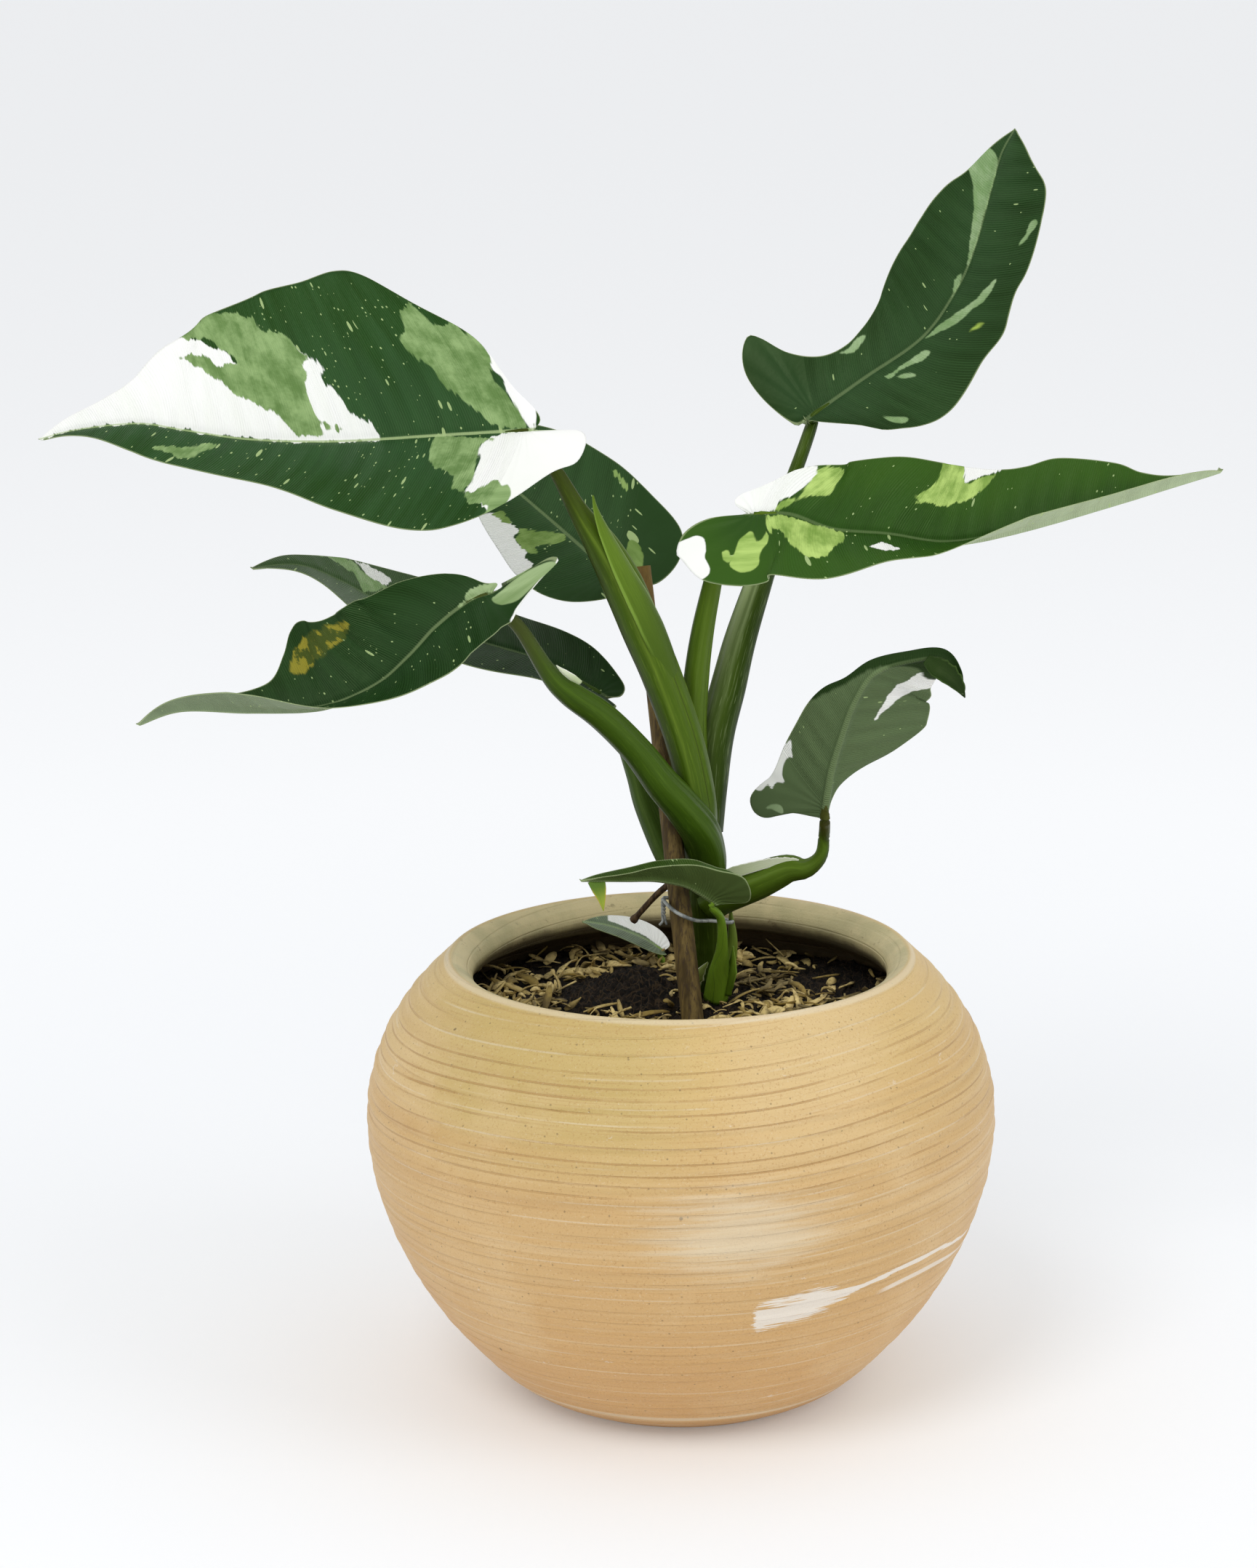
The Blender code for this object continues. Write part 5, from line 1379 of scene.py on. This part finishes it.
def leaf_marks():
    """Shared leaf marking: masks for the patches, flecks, streaks, veins and rim, from a blade's values."""
    leaf, given, sent = new_group(
        "leaf_marks",
        {"Vector": ("Vein", "Marks", "Rims"), "Float": ("Shift", "Flecks", "Teeth")},
        ("White", "Pale", "Third", "Fleck", "Streak", "Mottle", "Outer", "Veins", "Midrib", "Rim", "Under",
         "Height"),
    )
    station, side, share = leaf.parts(given["Vein"])
    margin_mm, from_midrib, under = leaf.parts(given["Rims"])

    def leaf_place(along, across):
        return leaf.joined(leaf.times(station, along), leaf.times(side, across), given["Shift"])

    # The patches' edges are toothed along the veins.
    flow = leaf_place(1.0, 0.11)
    teeth = leaf.plus(leaf.off_middle(leaf.grain(flow, 0.30, 3, 0.6), 5.0),
                      leaf.off_middle(leaf.grain(flow, 1.4, 2, 0.6), 1.6))
    teeth = leaf.times(teeth, given["Teeth"])
    ranges = (("White", -0.25, 0.25), ("Pale", -0.3, 0.3), ("Third", -0.5, 0.8))
    for distance, (name, low, high) in zip(leaf.parts(given["Marks"]), ranges):
        leaf.put(leaf.eased(leaf.plus(distance, teeth), low, high), sent[name])

    # Flecks come in clumps, as long dashes and as small specks. For each kind: its place and cells,
    # the chance that a cell has to reach, what a clump and any place take off it, the range of its
    # sizes and the smallest.
    clump = leaf.eased(leaf.grain(flow, 0.16, 2, 0.5), 0.42, 0.66)
    kinds = (
        (leaf_place(0.85, 0.26), 0.55, 1.02, 0.27, 0.03, 0.20, 0.08),
        (leaf_place(1.0, 0.75), 0.72, 1.0, 0.30, 0.09, 0.13, 0.09),
    )
    flecks = []
    for place, scale, limit, clumped, loose, spread, smallest in kinds:
        distance, chance, other_chance = leaf.cells(place, scale)
        share_here = leaf.times(given["Flecks"], leaf.plus(leaf.times(clump, clumped), loose))
        chosen = leaf.maths("GREATER_THAN", chance, leaf.minus(limit, share_here))
        size = leaf.plus(leaf.times(other_chance, spread), smallest)
        flecks.append(leaf.times(leaf.maths("LESS_THAN", distance, size), chosen))
    leaf.put(leaf.maths("MAXIMUM", *flecks), sent["Fleck"])

    leaf.put(leaf.eased(leaf.grain(flow, 0.22, 3, 0.55), 0.30, 0.70), sent["Streak"])
    blotch = leaf.times(leaf.grain(leaf_place(1.0, 1.0), 0.13, 5, 0.65), 0.72)
    mottle = leaf.plus(blotch, leaf.times(leaf.grain(flow, 0.42, 4, 0.6), 0.28))
    leaf.put(leaf.eased(mottle, 0.36, 0.64), sent["Mottle"])
    outer = leaf.plus(share, leaf.off_middle(leaf.grain(flow, 0.12, 2, 0.5), 0.9))
    leaf.put(leaf.eased(outer, 0.15, 0.85), sent["Outer"])
    fine_veins = leaf.add("TexWave", {
        "Vector": flow, "Scale": 0.42, "Distortion": 1.5, "Detail": 2.0, "Detail Scale": 0.6,
    }, wave_type="BANDS", bands_direction="X", wave_profile="SIN").outputs["Fac"]
    leaf.put(leaf.times(leaf.eased(fine_veins, 0.86, 0.99), leaf.eased(station, 4.0, 14.0)), sent["Veins"])
    midrib_wide = leaf.minus(0.55, leaf.times(station, 0.003))
    leaf.put(leaf.eased(leaf.minus(from_midrib, midrib_wide), 0.30, -0.20), sent["Midrib"])
    leaf.put(leaf.eased(margin_mm, 0.32, 0.12), sent["Rim"])
    leaf.put(leaf.maths("GREATER_THAN", under, 0.5), sent["Under"])
    fine = leaf.times(leaf.grain(flow, 2.6, 3, 0.6), 0.4)
    leaf.put(leaf.plus(leaf.times(fine_veins, 0.6), fine), sent["Height"])
    return leaf.tree


leaf_marking = leaf_marks()


def leaf_material(letter):
    """A blade's glossy skin: its greens, then the flecks, the patches and the midrib over them."""
    inner, outer, underneath, pale_dark, pale_light, flecks, midrib = LEAF_GREENS[letter]
    skin = Finish(f"leaf_{letter}_surface", inner, roughness=0.36, specular=0.24)
    skin.shader["Specular Tint"].default_value = LEAF_GLEAM
    marks = skin.marked(leaf_marking, "Vein", "Marks", "Rims")
    marks.inputs["Shift"].default_value = ord(letter) * PATTERN_SHIFT
    marks.inputs["Flecks"].default_value = flecks
    marks.inputs["Teeth"].default_value = LEAF_TEETH.get(letter, 1.0)
    out = marks.outputs
    # The change from the midrib green to the margin green is partly painted sheen and shade, where the blade
    # curves towards or away from the light.
    skin.coat(outer, out["Outer"])
    skin.coat(tuple(part * 1.7 for part in inner), out["Streak"], 0.40)
    skin.coat(tuple(part * 2.1 for part in inner), out["Veins"], 0.45)
    if letter == "d":
        skin.coat(LEAF_THIRD[letter], out["Third"], 0.85)
    low_green = skin.blended(out["Streak"], tuple(part * 0.88 for part in underneath), underneath)
    skin.coat(low_green, out["Under"])
    skin.coat(LEAF_FLECK, out["Fleck"], 0.85)
    skin.coat(LEAF_MARGIN, out["Rim"], 0.55)
    white = skin.blended(skin.times(out["Streak"], 0.12), LEAF_WHITE, LEAF_CREAM)
    pale = skin.blended(out["Mottle"], pale_dark, pale_light)
    layers = [(white, out["White"]), (pale, out["Pale"])]
    for tone, mask in reversed(layers) if letter in "df" else layers:
        skin.coat(tone, mask)
    if letter == "c":
        skin.coat(LEAF_BRONZE, out["Third"], 0.6)
        skin.coat(LEAF_THIRD[letter], out["Third"], skin.eased(out["Mottle"], 0.45, 0.72), 0.8)
    elif letter in "eg":
        skin.coat(LEAF_THIRD[letter], out["Third"])
    skin.coat(LEAF_MIDRIB, out["Midrib"], midrib)
    roughness = skin.plus(skin.times(out["Under"], 0.18), 0.34)
    return skin.done(skin.bump(out["Height"], 0.0003, 0.7), roughness)


for letter in "abcdefghi":
    finish_piece(blade_piece(letter), leaf_material(letter), "leaf", f"leaf_{letter}_blade")

# The tip of the blade on the right has dried a little and curled into a dark fold. The tip of the
# lowest small blade has curled right over and hangs, turning yellow.
fold_green = slip_material(
    "curled_leaf_tip", (0.012, 0.034, 0.004), (0.007, 0.022, 0.003), (0.04, 0.08, 0.015), roughness=0.34
)
slip(
    "leaf_g_curled_tip",
    ((76.5, -12.5, 238.6), (79.5, -14, 236.6), (83, -15.5, 234.6), (86, -17, 231.6), (88.2, -18, 227.6)),
    (3.0, 6.5, 6.4, 4.2, 0.3), (0.7, 0.1, 0.7), fold_green, cup=0.22, ragged=0.12, slot="leaf",
)
hanging_green = slip_material(
    "yellowing_leaf_tip", (0.10, 0.19, 0.025), (0.42, 0.50, 0.06), (0.60, 0.46, 0.05), roughness=0.4
)
slip(
    "leaf_h_drip_tip", ((-25.8, -15, 169.8), (-25, -15.5, 167.2), (-24.2, -15.8, 164), (-23.6, -15.8, 160)),
    (5.6, 4.4, 2.2, 0.3), (1.0, 0.1, 0.2), hanging_green, thickness=0.4, cup=0.12, slot="leaf",
)

# A plain white floor, slightly greyer round the pot. It shines very faintly, so that it stays white
# right to the edges of the picture.
FLOOR_SIZE = 60
FLOOR_NORTH = 20
FLOOR_NEAR = (0.858, 0.876, 0.902)
FLOOR_FAR = (0.925, 0.938, 0.957)
FLOOR_GLOW = 0.14
bpy.ops.mesh.primitive_plane_add(size=FLOOR_SIZE, location=(0, FLOOR_NORTH, 0))
floor = bpy.context.object
floor.name = "studio_floor"
paper = Finish("studio_white", FLOOR_NEAR, roughness=0.9, specular=0.1)
from_plant = paper.length(paper.moved(paper.object_place(), (0, FLOOR_NORTH, 0)))
paper.coat(FLOOR_FAR, paper.eased(from_plant, 0.28, 0.85))
paper.shader["Emission Color"].default_value = (1, 1, 1, 1)
paper.shader["Emission Strength"].default_value = FLOOR_GLOW
floor.data.materials.append(paper.done())

# The studio light: a big soft light from the upper left front, a weaker one from the right, and an
# even white sky.
LIGHT_TARGET = (0, 0, 0.2)
SKY_COLOUR = (0.965, 0.97, 0.975, 1)
SKY_STRENGTH = 0.78
world = bpy.data.worlds.new("studio_sky")
bpy.context.scene.world = world
world.use_nodes = True
sky = world.node_tree.nodes["Background"]
sky.inputs["Color"].default_value = SKY_COLOUR
sky.inputs["Strength"].default_value = SKY_STRENGTH


def soft_light(name, place, size, power):
    """A round soft light that faces the plant."""
    lamp = bpy.data.lights.new(name, "AREA")
    lamp.shape = "DISK"
    lamp.size = size
    lamp.energy = power
    made = bpy.data.objects.new(name, lamp)
    toward = Vector(LIGHT_TARGET) - Vector(place)
    made.matrix_world = Matrix.Translation(place) @ toward.to_track_quat("-Z", "Y").to_matrix().to_4x4()
    bpy.context.scene.collection.objects.link(made)


soft_light("key_light", (-0.7, -1.3, 1.7), size=1.0, power=11.5)
soft_light("side_light", (1.3, -0.7, 1.0), size=0.9, power=4)
